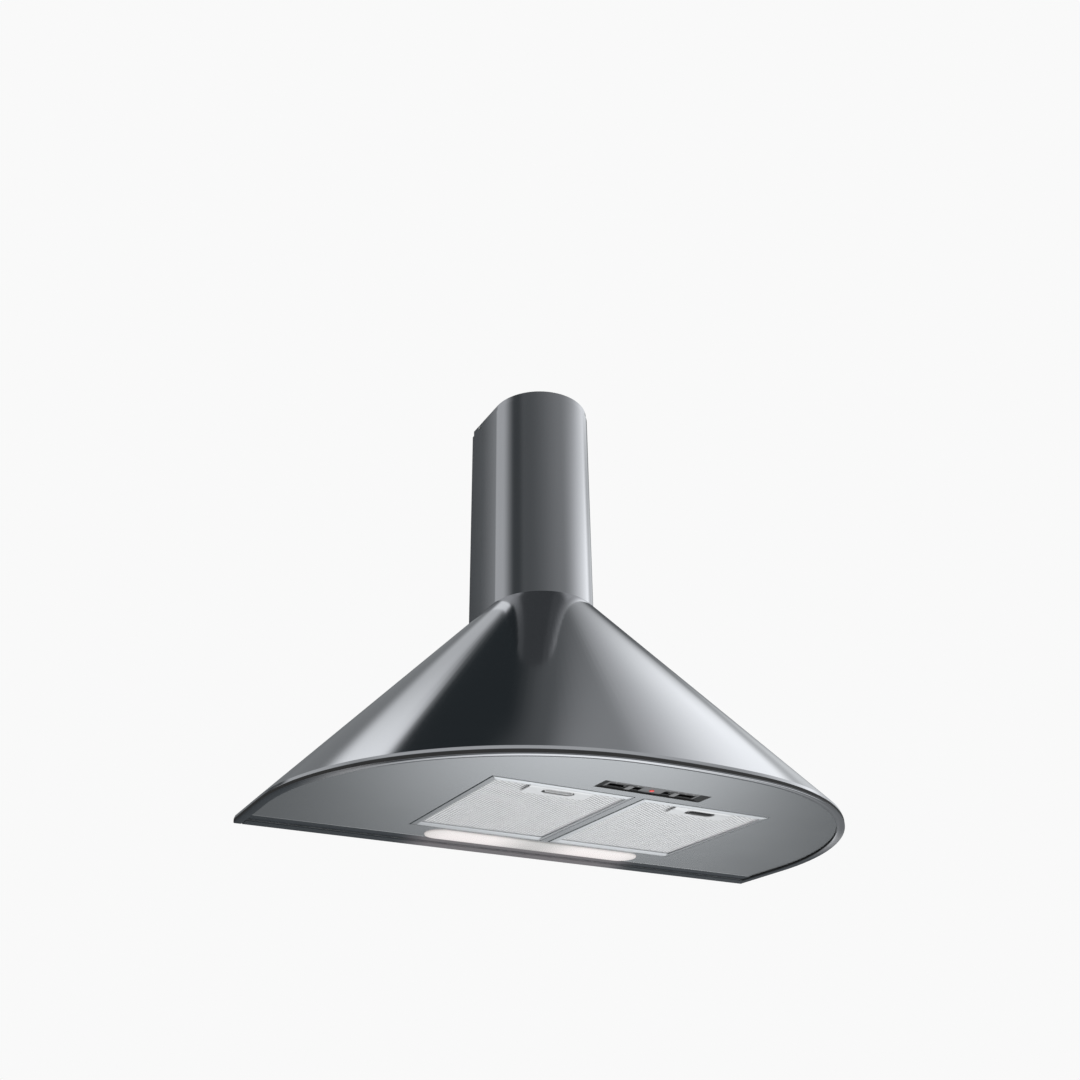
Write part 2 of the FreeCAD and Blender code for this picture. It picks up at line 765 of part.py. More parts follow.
mount_holes = [circle(mount_spot(n, cell.mount_radius), cell.screw_radius + cell.running_gap)
               for n in range(3)]
outlet_front = blower_y - half_step
outlet_rear = blower_y + half_step + scroll_end
flange_x = half_scroll + cell.scroll_flange
flange_spots = [(x * (half_scroll + cell.scroll_flange / 2), y)
                for x in (-1, 1)
                for y in (outlet_front + cell.scroll_flange, outlet_rear - cell.scroll_flange)]
for label, side in SIDES:
    scroll = Piece(f"scroll_{label}")
    x0, x1 = sided(side, as_size(0), half_scroll)
    scroll.add("YZ", x0, half_scroll, scroll_loop(0, outlet_plate_under))
    f0, f1 = sided(side, as_size(0), flange_x)
    flange_z = outlet_plate_under - cell.scroll_wall
    scroll.add("XY", flange_z, cell.scroll_wall,
               rectangle(f0, f1, outlet_front, outlet_rear))
    c0, c1 = sided(side, as_size(0), half_scroll - cell.scroll_wall)
    scroll.cut("YZ", c0, half_scroll - cell.scroll_wall, scroll_loop(cell.scroll_wall, outlet_plate_under))
    w0, w1 = sided(side, half_scroll - cell.scroll_wall, half_scroll)
    holes = mount_holes if side > 0 else []
    scroll.cut("YZ", w0, cell.scroll_wall, circle(point(blower_y, blower_z), cell.inlet_radius), *holes)
    own = [spot for spot in flange_spots if spot[0].value * side > 0]
    scroll.cut("XY", flange_z, cell.scroll_wall,
               *[circle(point(x, y), cell.screw_radius + cell.running_gap) for x, y in own])
    if side > 0:
        outlet_plate.cut("XY", outlet_plate_under, cell.outlet_plate_thick,
                         *[circle(point(x, y), cell.screw_radius + cell.running_gap)
                           for x, y in flange_spots])
screws("scroll_screws", [(x, y, outlet_plate_under - cell.scroll_wall) for x, y in flange_spots],
       (0, 0, 1), cell.scroll_wall + cell.outlet_plate_thick)

wheel = Piece("impeller")
half_wheel = cell.wheel_width / 2
ring_in = cell.wheel_radius - cell.wheel_ring
origin = point(0, 0)
wheel.add("YZ", -cell.scroll_wall / 2, cell.scroll_wall,
          circle(origin, cell.wheel_radius - cell.sheet), circle(origin, cell.shaft_radius))
wheel.add("YZ", -cell.motor_radius / 3, cell.motor_radius / 3,
          circle(origin, cell.shaft_radius * 2.5), circle(origin, cell.shaft_radius))
blade_mid = cell.wheel_radius - cell.wheel_ring / 2
blade_half = cell.sheet / 2
blade = wheel.add("YZ", -half_wheel, cell.wheel_width,
                  polygon(point(ring_in, -blade_half), point(blade_mid, blade_half * 2),
                          point(cell.wheel_radius - blade_half, blade_half * 7),
                          point(cell.wheel_radius - blade_half, blade_half * 9),
                          point(blade_mid, blade_half * 4), point(ring_in, blade_half)))
wheel.spin_copies(blade, "X_Axis", cell.blade_count)
for x0 in (-half_wheel, half_wheel - cell.scroll_wall):
    wheel.add("YZ", x0, cell.scroll_wall, circle(origin, cell.wheel_radius), circle(origin, ring_in))
wheel.place(0, blower_y, blower_z)

motor_end = half_scroll + cell.grommet_height
motor_start = motor_end - cell.motor_length
shaft_start = -cell.motor_radius / 3
shaft_end = motor_end + cell.scroll_wall * 4
shaft = rod("motor_shaft", cell.shaft_radius, shaft_end - shaft_start, shaft_start, blower_y, blower_z,
            (1, 0, 0))
shaft.Label = "motor_shaft"
pieces.append(shaft)

motor = Piece("motor")
axis_at = point(blower_y, blower_z)
motor.add("YZ", motor_start, cell.motor_length,
          circle(axis_at, cell.motor_radius), circle(axis_at, cell.shaft_radius + cell.running_gap))
motor.add("YZ", motor_start - cell.scroll_wall * 2, cell.scroll_wall * 2,
          circle(axis_at, cell.shaft_radius * 3), circle(axis_at, cell.shaft_radius + cell.running_gap))

motor_bracket = Piece("motor_bracket")
bracket_disc = cell.motor_radius + cell.scroll_wall
motor_bracket.add("YZ", motor_end, cell.scroll_wall, circle(axis_at, bracket_disc))
for n in range(3):
    hub, tip = mount_spot(n, bracket_disc / 2), mount_spot(n, cell.mount_radius + cell.screw_head_radius * 2)
    turn = math.radians(60 + 120 * n)
    off_y = cell.screw_head_radius * 1.8 * -math.sin(turn)
    off_z = cell.screw_head_radius * 1.8 * math.cos(turn)
    motor_bracket.add("YZ", motor_end, cell.scroll_wall,
                      polygon(point(hub[0] - off_y, hub[1] - off_z), point(tip[0] - off_y, tip[1] - off_z),
                              point(tip[0] + off_y, tip[1] + off_z), point(hub[0] + off_y, hub[1] + off_z)))
motor_bracket.cut("YZ", motor_end, cell.scroll_wall, circle(axis_at, cell.shaft_radius * 1.5), *mount_holes)

grommets = []
for n in range(3):
    y, z = mount_spot(n, cell.mount_radius)
    outer = rod(f"grommet_outer_{n}", cell.screw_head_radius * 1.5, cell.grommet_height,
                half_scroll, y, z, (1, 0, 0))
    inner = rod(f"grommet_inner_{n}", cell.screw_radius + cell.running_gap, cell.grommet_height,
                half_scroll, y, z, (1, 0, 0))
    grommet = doc.addObject("Part::Cut", f"grommet_{n}")
    grommet.Base = outer
    grommet.Tool = inner
    grommets.append(grommet)
group("motor_grommets", grommets)
screws("motor_screws",
       [(motor_end + cell.scroll_wall, *mount_spot(n, cell.mount_radius)) for n in range(3)],
       (-1, 0, 0), cell.grommet_height + cell.scroll_wall * 2)

guard = Piece("inlet_guard")
guard_holes = []
for count, share, size in ((6, 0.36, 0.13), (12, 0.72, 0.145)):
    for n in range(count):
        turn = 2 * math.pi * n / count
        spot = point(blower_y + cell.inlet_radius * (share * math.cos(turn)),
                     blower_z + cell.inlet_radius * (share * math.sin(turn)))
        guard_holes.append(circle(spot, cell.inlet_radius * size))
guard.add("YZ", -half_scroll - cell.scroll_wall, cell.scroll_wall,
          circle(axis_at, cell.inlet_radius + cell.scroll_flange * 0.8), *guard_holes)

# Outlet collar with its two damper flaps

collar = Piece("outlet_collar")
collar_bore = circle(point(0, spigot_y), spigot_bore)
flange_radius = cell.spigot_radius + cell.collar_flange
collar.add("XY", outlet_plate_z, cell.spigot_wall, circle(point(0, spigot_y), flange_radius), collar_bore)
collar.add("XY", outlet_plate_z, cell.spigot_length,
           circle(point(0, spigot_y), cell.spigot_radius), collar_bore)
pin_z = outlet_plate_z + cell.spigot_length * 0.35
ledge_top = pin_z - cell.flap_thick / 2 - cell.flap_gap / 5
collar.add("XY", ledge_top - cell.spigot_wall, cell.spigot_wall,
           circle(point(0, spigot_y), spigot_bore + cell.spigot_wall / 2),
           circle(point(0, spigot_y), spigot_bore - cell.spigot_wall * 2))
collar.cut("XZ", cell.spigot_depth - cell.spigot_radius * 1.2, cell.spigot_radius * 2.4,
           circle(point(0, pin_z), cell.damper_pin_radius))
collar_turns = [math.radians(45 + 90 * n) for n in range(4)]
collar_reach = cell.spigot_radius + cell.collar_flange / 2
collar_spots = [(collar_reach * math.cos(turn), spigot_y + collar_reach * math.sin(turn))
                for turn in collar_turns]
collar_holes = [circle(point(x, y), cell.screw_radius + cell.running_gap) for x, y in collar_spots]
collar.cut("XY", outlet_plate_z, cell.spigot_wall, *collar_holes)
outlet_plate.cut("XY", outlet_plate_under, cell.outlet_plate_thick, *collar_holes)
screws("collar_screws", [(x, y, outlet_plate_z + cell.spigot_wall) for x, y in collar_spots],
       (0, 0, -1), cell.spigot_wall + cell.outlet_plate_thick)

pin_half = cell.spigot_radius - cell.spigot_wall / 4
pin = rod("damper_pin", cell.damper_pin_radius, pin_half * 2, 0, spigot_y + pin_half, pin_z, (0, -1, 0))
pin.Label = "damper_pin"
pieces.append(pin)

flap_radius = spigot_bore - cell.flap_gap
knuckle_radius = cell.damper_pin_radius * 2
knuckle_bore = cell.damper_pin_radius + cell.running_gap
leaf_start = knuckle_radius + cell.flap_gap / 3
leaf_y = root(flap_radius * flap_radius - leaf_start * leaf_start)
knuckle = cell.spigot_radius * 0.18
for label, side in SIDES:
    flap = Piece(f"damper_flap_{label}")
    ends = point(side * leaf_start, spigot_y + leaf_y), point(side * leaf_start, spigot_y - leaf_y)
    leaf_z = pin_z - cell.flap_thick / 2
    flap.add("XY", leaf_z, cell.flap_thick,
             [arc(ends[1], ends[0], point(0, spigot_y), side), line(ends[0], ends[1])])
    for n in range(4):
        share = 0.42 * n - (0.78 if side > 0 else 0.57)
        knuckle_at = cell.spigot_depth + cell.spigot_radius * share
        tab = sided(side, as_size(0), leaf_start + cell.flap_thick)
        flap.add("XZ", knuckle_at, knuckle, rectangle(*tab, leaf_z, leaf_z + cell.flap_thick))
        flap.add("XZ", knuckle_at, knuckle, circle(point(0, pin_z), knuckle_radius))
        flap.cut("XZ", knuckle_at, knuckle, circle(point(0, pin_z), knuckle_bore))

# Electrical pieces on the back panel

box_x0 = cell.box_side
box_x1 = cell.box_side + cell.box_width
box_top = cell.box_level + cell.box_height
box_front = cell.sheet + cell.box_depth
gland_x = (box_x0 + box_x1) / 2
gland_y = -(cell.sheet + cell.box_depth / 2)
gland_bore = cell.cable_radius * 1.5
gland_thread = cell.cable_radius * 3

box = Piece("terminal_box")
box.add("XZ", cell.sheet, cell.box_depth, rectangle(box_x0, box_x1, cell.box_level, box_top))
box.cut("XZ", cell.sheet + cell.box_wall, cell.box_depth - cell.box_wall,
        rectangle(box_x0 + cell.box_wall, box_x1 - cell.box_wall,
                  cell.box_level + cell.box_wall, box_top - cell.box_wall))
box.cut("XY", box_top - cell.box_wall, cell.box_wall, circle(point(gland_x, gland_y), gland_thread))

lid = Piece("terminal_box_lid")
lid.add("XZ", box_front, cell.box_wall, rectangle(box_x0, box_x1, cell.box_level, box_top))
lid_inset = cell.box_wall + cell.control_fit
lid.add("XZ", box_front - cell.box_wall, cell.box_wall,
        rectangle(box_x0 + lid_inset, box_x1 - lid_inset, cell.box_level + lid_inset, box_top - lid_inset))

block = Piece("terminal_block")
block_z = cell.box_level + cell.box_height * 0.3
block.add("XZ", cell.sheet + cell.box_wall, cell.box_depth * 0.4,
          rectangle(box_x0 + cell.box_width * 0.15, box_x1 - cell.box_width * 0.15,
                    block_z, block_z + cell.box_height * 0.35))
for n in range(5):
    well_at = box_x0 + cell.box_width * (0.23 + 0.135 * n)
    block.cut("XZ", cell.sheet + cell.box_wall + cell.box_depth * 0.2, cell.box_depth * 0.2,
              circle(point(well_at, block_z + cell.box_height * 0.175), cell.screw_radius))

gland = Piece("cable_gland")
gland_at = point(gland_x, gland_y)
gland.add("XY", box_top - cell.box_wall * 3, cell.box_wall * 4, circle(gland_at, gland_thread),
          circle(gland_at, gland_bore))
gland.add("XY", box_top, cell.box_wall * 2,
          circle(gland_at, gland_thread * 1.35), circle(gland_at, gland_bore))
gland.add("XY", box_top + cell.box_wall, cell.box_wall * 4, circle(gland_at, gland_thread * 1.15),
          circle(gland_at, gland_bore))

can_x = -(cell.box_side + cell.box_width / 2)
clip_thick = cell.box_wall
can_y = -(cell.sheet + clip_thick + cell.capacitor_radius)
can = rod("capacitor", cell.capacitor_radius, cell.capacitor_height, can_x, can_y, cell.box_level, (0, 0, 1))
can.Label = "capacitor"
pieces.append(can)

clip = Piece("capacitor_clip")
can_at = point(can_x, can_y)
clip_z = cell.box_level + cell.capacitor_height * 0.4
clip_high = cell.capacitor_height * 0.2
clip.add("XY", clip_z, clip_high, circle(can_at, cell.capacitor_radius + clip_thick))
clip.add("XY", clip_z, clip_high,
         rectangle(can_x - cell.capacitor_radius * 1.8, can_x + cell.capacitor_radius * 1.8,
                   -(cell.sheet + clip_thick), -cell.sheet))
clip.cut("XY", clip_z, clip_high, circle(can_at, cell.capacitor_radius))

# Lamp in its housing behind the filters

housing = Piece("lamp_housing")
rim_wide = cell.lamp_gap * 5
housing_roof = panel_top + cell.lamp_housing_height
nothing = as_size(0)
housing.add("XY", panel_top, cell.sheet, lamp_pill(rim_wide))
housing.add("XY", panel_top, cell.lamp_housing_height, lamp_pill(cell.sheet))
housing.cut("XY", panel_top, cell.lamp_housing_height - cell.sheet, lamp_pill(nothing))

bulb_z = panel_top + cell.lamp_housing_height * 0.5
lamp_y = -cell.lamp_depth
holder_radius = cell.bulb_radius * 1.25
holder_out = cell.lamp_length / 2 - cell.lamp_width * 0.35
holder_in = holder_out - cell.holder_length
holders = []
bulbs = []
for label, side in SIDES:
    barrel = rod(f"holder_barrel_{label}", holder_radius, cell.holder_length,
                 side * holder_out, lamp_y, bulb_z, (-side, 0, 0))
    foot = doc.addObject("Part::Box", f"holder_foot_{label}")
    foot.setExpression("Length", (cell.holder_length / 2).text)
    foot.setExpression("Width", holder_radius.text)
    foot.setExpression("Height", (housing_roof - cell.sheet - bulb_z).text)
    put(foot, sided(side, holder_in + cell.holder_length / 4, holder_out - cell.holder_length / 4)[0],
        lamp_y - holder_radius / 2, bulb_z)
    holder = doc.addObject("Part::Fuse", f"holder_{label}")
    holder.Base = barrel
    holder.Tool = foot
    holders.append(holder)
    tube_length = holder_in * 0.75
    tube = rod(f"bulb_tube_{label}", cell.bulb_radius, tube_length, side * holder_in, lamp_y, bulb_z,
               (-side, 0, 0))
    dome = doc.addObject("Part::Sphere", f"bulb_dome_{label}")
    dome.setExpression("Radius", cell.bulb_radius.text)
    put(dome, side * (holder_in - tube_length), lamp_y, bulb_z)
    bulb = doc.addObject("Part::Fuse", f"bulb_{label}")
    bulb.Base = tube
    bulb.Tool = dome
    bulbs.append(bulb)
group("lamp_holders", holders)
group("lamp_bulbs", bulbs)

cover = Piece("lamp_cover")
cover_low = panel_z - cell.lamp_bulge
cover_wall = cell.box_wall * 0.75
cover.add("XY", cover_low, panel_top + cell.flange_height * 0.6 - cover_low, lamp_pill(-cell.lamp_gap))


def on_lamp_bottom(edge):
    bounds = edge.BoundBox
    return abs(bounds.ZMin - cover_low.value) < 0.01 and abs(bounds.ZMax - cover_low.value) < 0.01


cover.round_edges(on_lamp_bottom, cell.lamp_bulge * 0.8)
cover.cut("XY", cover_low + cell.box_wall, cell.flange_height * 4, lamp_pill(-cell.lamp_gap - cover_wall))

# Controls in a recessed tray in front of the filters

control_y = -(cell.hood_depth - cell.control_front - cell.control_width / 2)
plate_z = panel_z + cell.control_recess
plate_top = plate_z + cell.sheet
tray_top = panel_z + cell.tray_height
slot_shift = control_y + cell.control_width * 0.13
slot_outer = cell.slot_inner + cell.slot_length

tray = Piece("control_tray")
tray.add("XY", panel_z, cell.tray_height, control_rect(-cell.control_fit, -cell.control_fit))
tray.add("XY", panel_top, cell.sheet, control_rect(cell.control_wall * 2, cell.control_wall * 2))
tray.loft("Subtractive", panel_z, control_rect(-cell.control_wall, -cell.control_fit * 3),
          plate_z, control_rect(-cell.control_end_bevel, -cell.control_side_bevel))
tray.cut("XY", plate_z, tray_top - plate_z, control_rect(-cell.control_end_bevel, -cell.control_side_bevel))

face = Piece("control_plate")
face_x = cell.control_end_bevel + cell.control_fit
face_y = cell.control_side_bevel + cell.control_fit
slots = [rectangle(*sided(side, cell.slot_inner, slot_outer),
                   slot_shift - cell.slot_width / 2, slot_shift + cell.slot_width / 2)
         for label, side in SIDES]
face.add("XY", plate_z, cell.sheet, control_rect(-face_x, -face_y), *slots,
         circle(point(0, slot_shift), cell.pilot_radius))

pilot = rod("pilot_lens", cell.pilot_radius, cell.sheet * 3, 0, slot_shift, plate_z - cell.sheet * 0.8,
            (0, 0, 1))
pilot.Label = "pilot_lens"
pieces.append(pilot)

knob_foot = cell.sheet * 1.5
body_low = plate_top + cell.control_fit * 2 + knob_foot
for label, side in (("light_slider", -1), ("speed_slider", 1)):
    knob = Piece(label)
    knob_mid = side * cell.knob_position
    grip_y = cell.slot_width / 2 - cell.control_fit
    grip_low = plate_z - cell.control_recess * 0.5
    knob.add("XY", grip_low, plate_top + cell.control_fit + knob_foot - grip_low,
             rectangle(knob_mid - cell.knob_length / 2, knob_mid + cell.knob_length / 2,
                       slot_shift - grip_y, slot_shift + grip_y))
    knob.add("XY", plate_top + cell.control_fit, knob_foot,
             rectangle(knob_mid - cell.knob_length * 0.75, knob_mid + cell.knob_length * 0.75,
                       slot_shift - cell.slot_width * 0.65, slot_shift + cell.slot_width * 0.65))

board_z = tray_top - cell.sheet * 2
bodies = []
for label, side in SIDES:
    case = doc.addObject("Part::Box", f"switch_{label}")
    case.setExpression("Length", (cell.slot_length + cell.sheet * 2).text)
    case.setExpression("Width", (cell.slot_width * 1.7).text)
    case.setExpression("Height", (board_z - body_low).text)
    put(case, sided(side, cell.slot_inner - cell.sheet, slot_outer + cell.sheet)[0],
        slot_shift - cell.slot_width * 0.85, body_low)
    bodies.append(case)
group("switch_bodies", bodies)

board = Piece("control_board")
board.add("XY", board_z, cell.sheet * 1.6, control_rect(-face_x, -face_y))


# Cables, each run straight from piece to piece with a round bend at its corners

def cable(label, corners):
    """A round cable through the corners, every run along one axis."""
    runs = []
    for n in range(len(corners) - 1):
        start = [as_size(v) for v in corners[n]]
        end = [as_size(v) for v in corners[n + 1]]
        spans = [b - a for a, b in zip(start, end)]
        axis = max(range(3), key=lambda k: abs(spans[k].value))
        sign = 1 if spans[axis].value > 0 else -1
        towards = [0, 0, 0]
        towards[axis] = sign
        runs.append(rod(f"{label}_run_{n}", cell.cable_radius, spans[axis] * sign, *start, towards))
        if n > 0:
            bend = doc.addObject("Part::Sphere", f"{label}_bend_{n}")
            bend.setExpression("Radius", cell.cable_radius.text)
            put(bend, *start)
            runs.append(bend)
    if len(runs) == 1:
        whole = runs[0]
    else:
        whole = doc.addObject("Part::MultiFuse", label)
        whole.Shapes = runs
    whole.Label = label
    pieces.append(whole)


cable_z = cell.box_level + cell.box_height * 0.5
cable_x = (shaft_end + box_x0) / 2
cable_y = blower_y + cell.motor_radius * 0.6
cable("motor_cable", [(box_x0, gland_y, cable_z), (cable_x, gland_y, cable_z), (cable_x, cable_y, cable_z),
                      (cable_x, cable_y, blower_z), (motor_end + cell.scroll_wall, cable_y, blower_z)])
lamp_cable_x = box_x0 + cell.box_width * 0.25
lamp_cable_y = -(cell.sheet + cell.box_depth * 0.88)
cable("lamp_cable", [(lamp_cable_x, lamp_cable_y, cell.box_level),
                     (lamp_cable_x, lamp_cable_y, housing_roof)])
run_z = panel_top + cell.sheet + cell.cable_radius
tray_rear = control_y + cell.control_width / 2 - cell.control_fit
housing_front = -(cell.lamp_depth + cell.lamp_width / 2 + cell.sheet)
cable("control_cable", [(0, housing_front, run_z), (0, tray_rear, run_z)])

doc.recompute()
faults = [f"{item.Name}: {item.State}" for item in doc.Objects if {"Invalid", "Error"} & set(item.State)]
os.makedirs("parts", exist_ok=True)
for piece in pieces:
    if piece.Shape.isNull() or not piece.Shape.isValid():
        faults.append(f"{piece.Label}: no valid shape")
if faults:
    raise RuntimeError("; ".join(faults))
for piece in pieces:
    piece.Shape.exportStep(f"parts/{piece.Label}.step")
    extent = piece.Shape.BoundBox
    print(f"{piece.Label}: {len(piece.Shape.Solids)} solid, {piece.Shape.Volume / 1000:.1f} cm3, "
          f"X {extent.XMin:.1f}..{extent.XMax:.1f} Y {extent.YMin:.1f}..{extent.YMax:.1f} "
          f"Z {extent.ZMin:.1f}..{extent.ZMax:.1f}")
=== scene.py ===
import json
import math

import bmesh
import bpy
from mathutils import Matrix, Vector


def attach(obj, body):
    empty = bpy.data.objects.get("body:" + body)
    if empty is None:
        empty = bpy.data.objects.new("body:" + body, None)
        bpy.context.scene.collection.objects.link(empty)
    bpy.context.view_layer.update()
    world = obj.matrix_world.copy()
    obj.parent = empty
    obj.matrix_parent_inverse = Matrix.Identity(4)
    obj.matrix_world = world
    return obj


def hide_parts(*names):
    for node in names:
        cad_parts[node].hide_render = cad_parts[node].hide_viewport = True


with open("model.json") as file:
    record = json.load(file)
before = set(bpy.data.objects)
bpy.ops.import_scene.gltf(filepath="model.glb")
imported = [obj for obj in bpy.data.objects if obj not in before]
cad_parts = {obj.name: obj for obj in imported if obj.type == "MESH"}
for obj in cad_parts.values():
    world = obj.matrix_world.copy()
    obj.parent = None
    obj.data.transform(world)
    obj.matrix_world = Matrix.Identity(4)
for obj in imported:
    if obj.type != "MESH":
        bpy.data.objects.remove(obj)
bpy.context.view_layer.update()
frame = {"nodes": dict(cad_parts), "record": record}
scene = bpy.context.scene
scene.view_settings.view_transform = "Standard"
print("frame loaded:", len(frame["nodes"]), "nodes")


# a socket of a node tree; sums and products of sockets add Math nodes
class Flow:
    def __init__(self, tree, socket):
        self.tree = tree
        self.socket = socket

    def node(self, kind, settings=None, sockets=None, out=0):
        made = self.tree.nodes.new(kind)
        for name, value in (settings or {}).items():
            setattr(made, name, value)
        for name, value in (sockets or {}).items():
            if isinstance(value, Flow):
                self.tree.links.new(value.socket, made.inputs[name])
            else:
                made.inputs[name].default_value = value
        return Flow(self.tree, made.outputs[out])

    def calc(self, operation, *values):
        return self.node("ShaderNodeMath", {"operation": operation}, dict(enumerate(values)))

    def __add__(self, other):
        return self.calc("ADD", self, other)

    def __sub__(self, other):
        return self.calc("SUBTRACT", self, other)

    def __rsub__(self, other):
        return self.calc("SUBTRACT", other, self)

    def __mul__(self, other):
        return self.calc("MULTIPLY", self, other)

    def __abs__(self):
        return self.calc("ABSOLUTE", self)

    __radd__ = __add__
    __rmul__ = __mul__

    def scaled(self, x, y, z):
        return self.node("ShaderNodeMapping", None, {"Vector": self, "Scale": (x, y, z)})

    def axis(self, number):
        return self.node("ShaderNodeSeparateXYZ", None, {0: self}, number)

    def noise(self, scale, detail=2.0):
        return self.node("ShaderNodeTexNoise", None, {"Vector": self, "Scale": scale, "Detail": detail})

    def cells(self, scale, out=0):
        return self.node("ShaderNodeTexVoronoi", None, {"Vector": self, "Scale": scale}, out)

    def ease(self, low, high):
        return self.node("ShaderNodeMapRange", {"interpolation_type": "SMOOTHSTEP"},
                         {"Value": self, "From Min": low, "From Max": high})

    # 1 between two limits, each with its own soft width
    def between(self, low, high, softLow, softHigh):
        rise = self.ease(low - softLow / 2, low + softLow / 2)
        return rise * self.ease(high + softHigh / 2, high - softHigh / 2)

    def tint(self, low, high):
        return self.node("ShaderNodeMix", {"data_type": "RGBA"}, {0: self, 6: low, 7: high}, 2)

    def bump(self, strength, depth):
        return self.node("ShaderNodeBump", None, {"Height": self, "Strength": strength, "Distance": depth})


def surface(name, paint, **fixed):
    material = bpy.data.materials.new(name)
    material.use_nodes = True
    tree = material.node_tree
    tree.nodes.clear()
    output = tree.nodes.new("ShaderNodeOutputMaterial")
    shader = tree.nodes.new("ShaderNodeBsdfPrincipled")
    tree.links.new(shader.outputs[0], output.inputs[0])
    for socket, value in fixed.items():
        shader.inputs[socket.replace("_", " ")].default_value = value
    place = Flow(tree, tree.nodes.new("ShaderNodeTexCoord").outputs["Object"])
    for socket, flow in paint(place).items():
        tree.links.new(flow.socket, shader.inputs[socket])
    return material


def grey(level, warm=0.0):
    return (level * (1 + warm), level, level * (1 - warm), 1.0)


# polished satin sheet, with upright grain and a faint cloud of handling marks
stainlessLook = {"dark": (0.552, 0.55, 0.567, 1), "light": (0.622, 0.62, 0.637, 1),
                 "roughness": 0.06, "spread": 0.05}


def paintStainless(place):
    grain = place.scaled(900, 900, 12).noise(1.0, 3)
    cloud = place.noise(7, 3)
    return {"Base Color": (grain * 0.5 + cloud * 0.5).tint(stainlessLook["dark"], stainlessLook["light"]),
            "Roughness": stainlessLook["roughness"] + (grain * 0.6 + cloud * 0.4) * stainlessLook["spread"],
            "Normal": grain.bump(0.03, 0.0002)}


# duller sheet under the hood, grain along its length
undersideLook = {"dark": grey(0.40, -0.02), "light": grey(0.47, -0.02), "roughness": 0.16, "spread": 0.05}


def paintUnderside(place):
    grain = place.scaled(14, 1100, 1100).noise(1.0, 3)
    cloud = place.noise(9, 3)
    return {"Base Color": (grain * 0.5 + cloud * 0.5).tint(undersideLook["dark"], undersideLook["light"]),
            "Roughness": undersideLook["roughness"] + (grain * 0.5 + cloud * 0.5) * undersideLook["spread"],
            "Normal": grain.bump(0.05, 0.0002)}


# zinc spangle of plates about a centimetre across
spangleLook = {"dark": grey(0.36, -0.02), "light": grey(0.56, -0.02), "roughness": 0.34,
               "plates": 95, "fine": 420}


def paintGalvanised(place):
    spangle = place.node("ShaderNodeSeparateColor", None, {0: place.cells(spangleLook["plates"], 1)})
    fine = place.noise(spangleLook["fine"], 3)
    return {"Base Color": (spangle * 0.7 + fine * 0.3).tint(spangleLook["dark"], spangleLook["light"]),
            "Roughness": spangleLook["roughness"] + spangle * 0.16 + fine * 0.06,
            "Normal": fine.bump(0.06, 0.0003)}


# hems go dull with painted shade along the wall and at the ends of the rim, lightened with painted lamp light
# beside the lamp
hemLook = {"dark": (0.046, 0.053, 0.060, 1), "lit": (0.19, 0.18, 0.19, 1), "dull": 0.6,
           "litFrom": 0.215, "litTo": 0.15, "endFrom": 0.35, "endTo": 0.44,
           "footFrom": 0.0022, "footTo": 0.0012, "front": -0.0415, "soft": 0.0003,
           "line": grey(0.9), "lineFrom": 0.0024, "lineTo": 0.0004, "lineSoft": 0.0006}


# where the mask is 1 the sheet goes dull and non-metallic and takes the painted colour passed in as shade
def dulledWithPaintedShade(look, mask, shade):
    look["Base Color"] = mask.tint(look["Base Color"], shade)
    look["Roughness"] = look["Roughness"] + mask * (hemLook["dull"] - look["Roughness"])
    look["Metallic"] = 1 - mask
    return look


# painted shade along the wall, lightened to painted lamp light beside the lamp
def wallShade(place):
    beside = abs(place.axis(0)).ease(hemLook["litFrom"], hemLook["litTo"])
    return beside.tint(hemLook["dark"], hemLook["lit"])


# back panel: its foot along the wall is dulled and darkened with painted shade, lighter beside the lamp
def paintBack(place):
    foot = place.axis(2).ease(hemLook["footFrom"], hemLook["footTo"])
    return dulledWithPaintedShade(paintGalvanised(place), foot, wallShade(place))


# underside panel: a painted highlight line where the dull strip of painted shade along the wall begins
def paintPanel(place):
    front, soft, lineSoft = hemLook["front"], hemLook["soft"], hemLook["lineSoft"]
    strip = place.axis(1).ease(front - soft, front + soft)
    look = dulledWithPaintedShade(paintUnderside(place), strip, wallShade(place))
    line = place.axis(1).between(front - hemLook["lineFrom"], front - hemLook["lineTo"], lineSoft, lineSoft)
    look["Base Color"] = line.tint(look["Base Color"], hemLook["line"])
    return look


# rim hem: its two ends go dull and dark with painted shade
def paintHem(place):
    ends = abs(place.axis(0)).ease(hemLook["endFrom"], hemLook["endTo"])
    return dulledWithPaintedShade(paintStainless(place), ends, hemLook["dark"])


# rolled aluminium of the filter frames
frameLook = {"dark": grey(0.70, -0.01), "light": grey(0.80, -0.01), "roughness": 0.24, "cloud": 26}


def paintAluminium(place):
    roll = place.scaled(1500, 40, 1500).noise(1.0, 3)
    cloud = place.noise(frameLook["cloud"], 2)
    return {"Base Color": (roll * 0.5 + cloud * 0.5).tint(frameLook["dark"], frameLook["light"]),
            "Roughness": frameLook["roughness"] + roll * 0.12 + cloud * 0.06,
            "Normal": roll.bump(0.05, 0.0002)}


# bright strands of the expanded mesh
strandLook = {"dark": grey(0.90, -0.01), "light": grey(0.97, -0.01), "roughness": 0.26, "scale": 650}


def paintMesh(place):
    strand = place.noise(strandLook["scale"], 2)
    return {"Base Color": strand.tint(strandLook["dark"], strandLook["light"]),
            "Roughness": strandLook["roughness"] + strand * 0.2,
            "Normal": strand.bump(0.5, 0.0006)}


# crumpled foil layers behind the mesh
foilLook = {"dark": grey(0.44, -0.015), "light": grey(0.66, -0.015), "roughness": 0.30, "creases": 330}


def paintFoil(place):
    crease = place.cells(foilLook["creases"])
    return {"Base Color": crease.tint(foilLook["dark"], foilLook["light"]),
            "Roughness": foilLook["roughness"] + crease * 0.25,
            "Normal": crease.bump(0.7, 0.0012)}


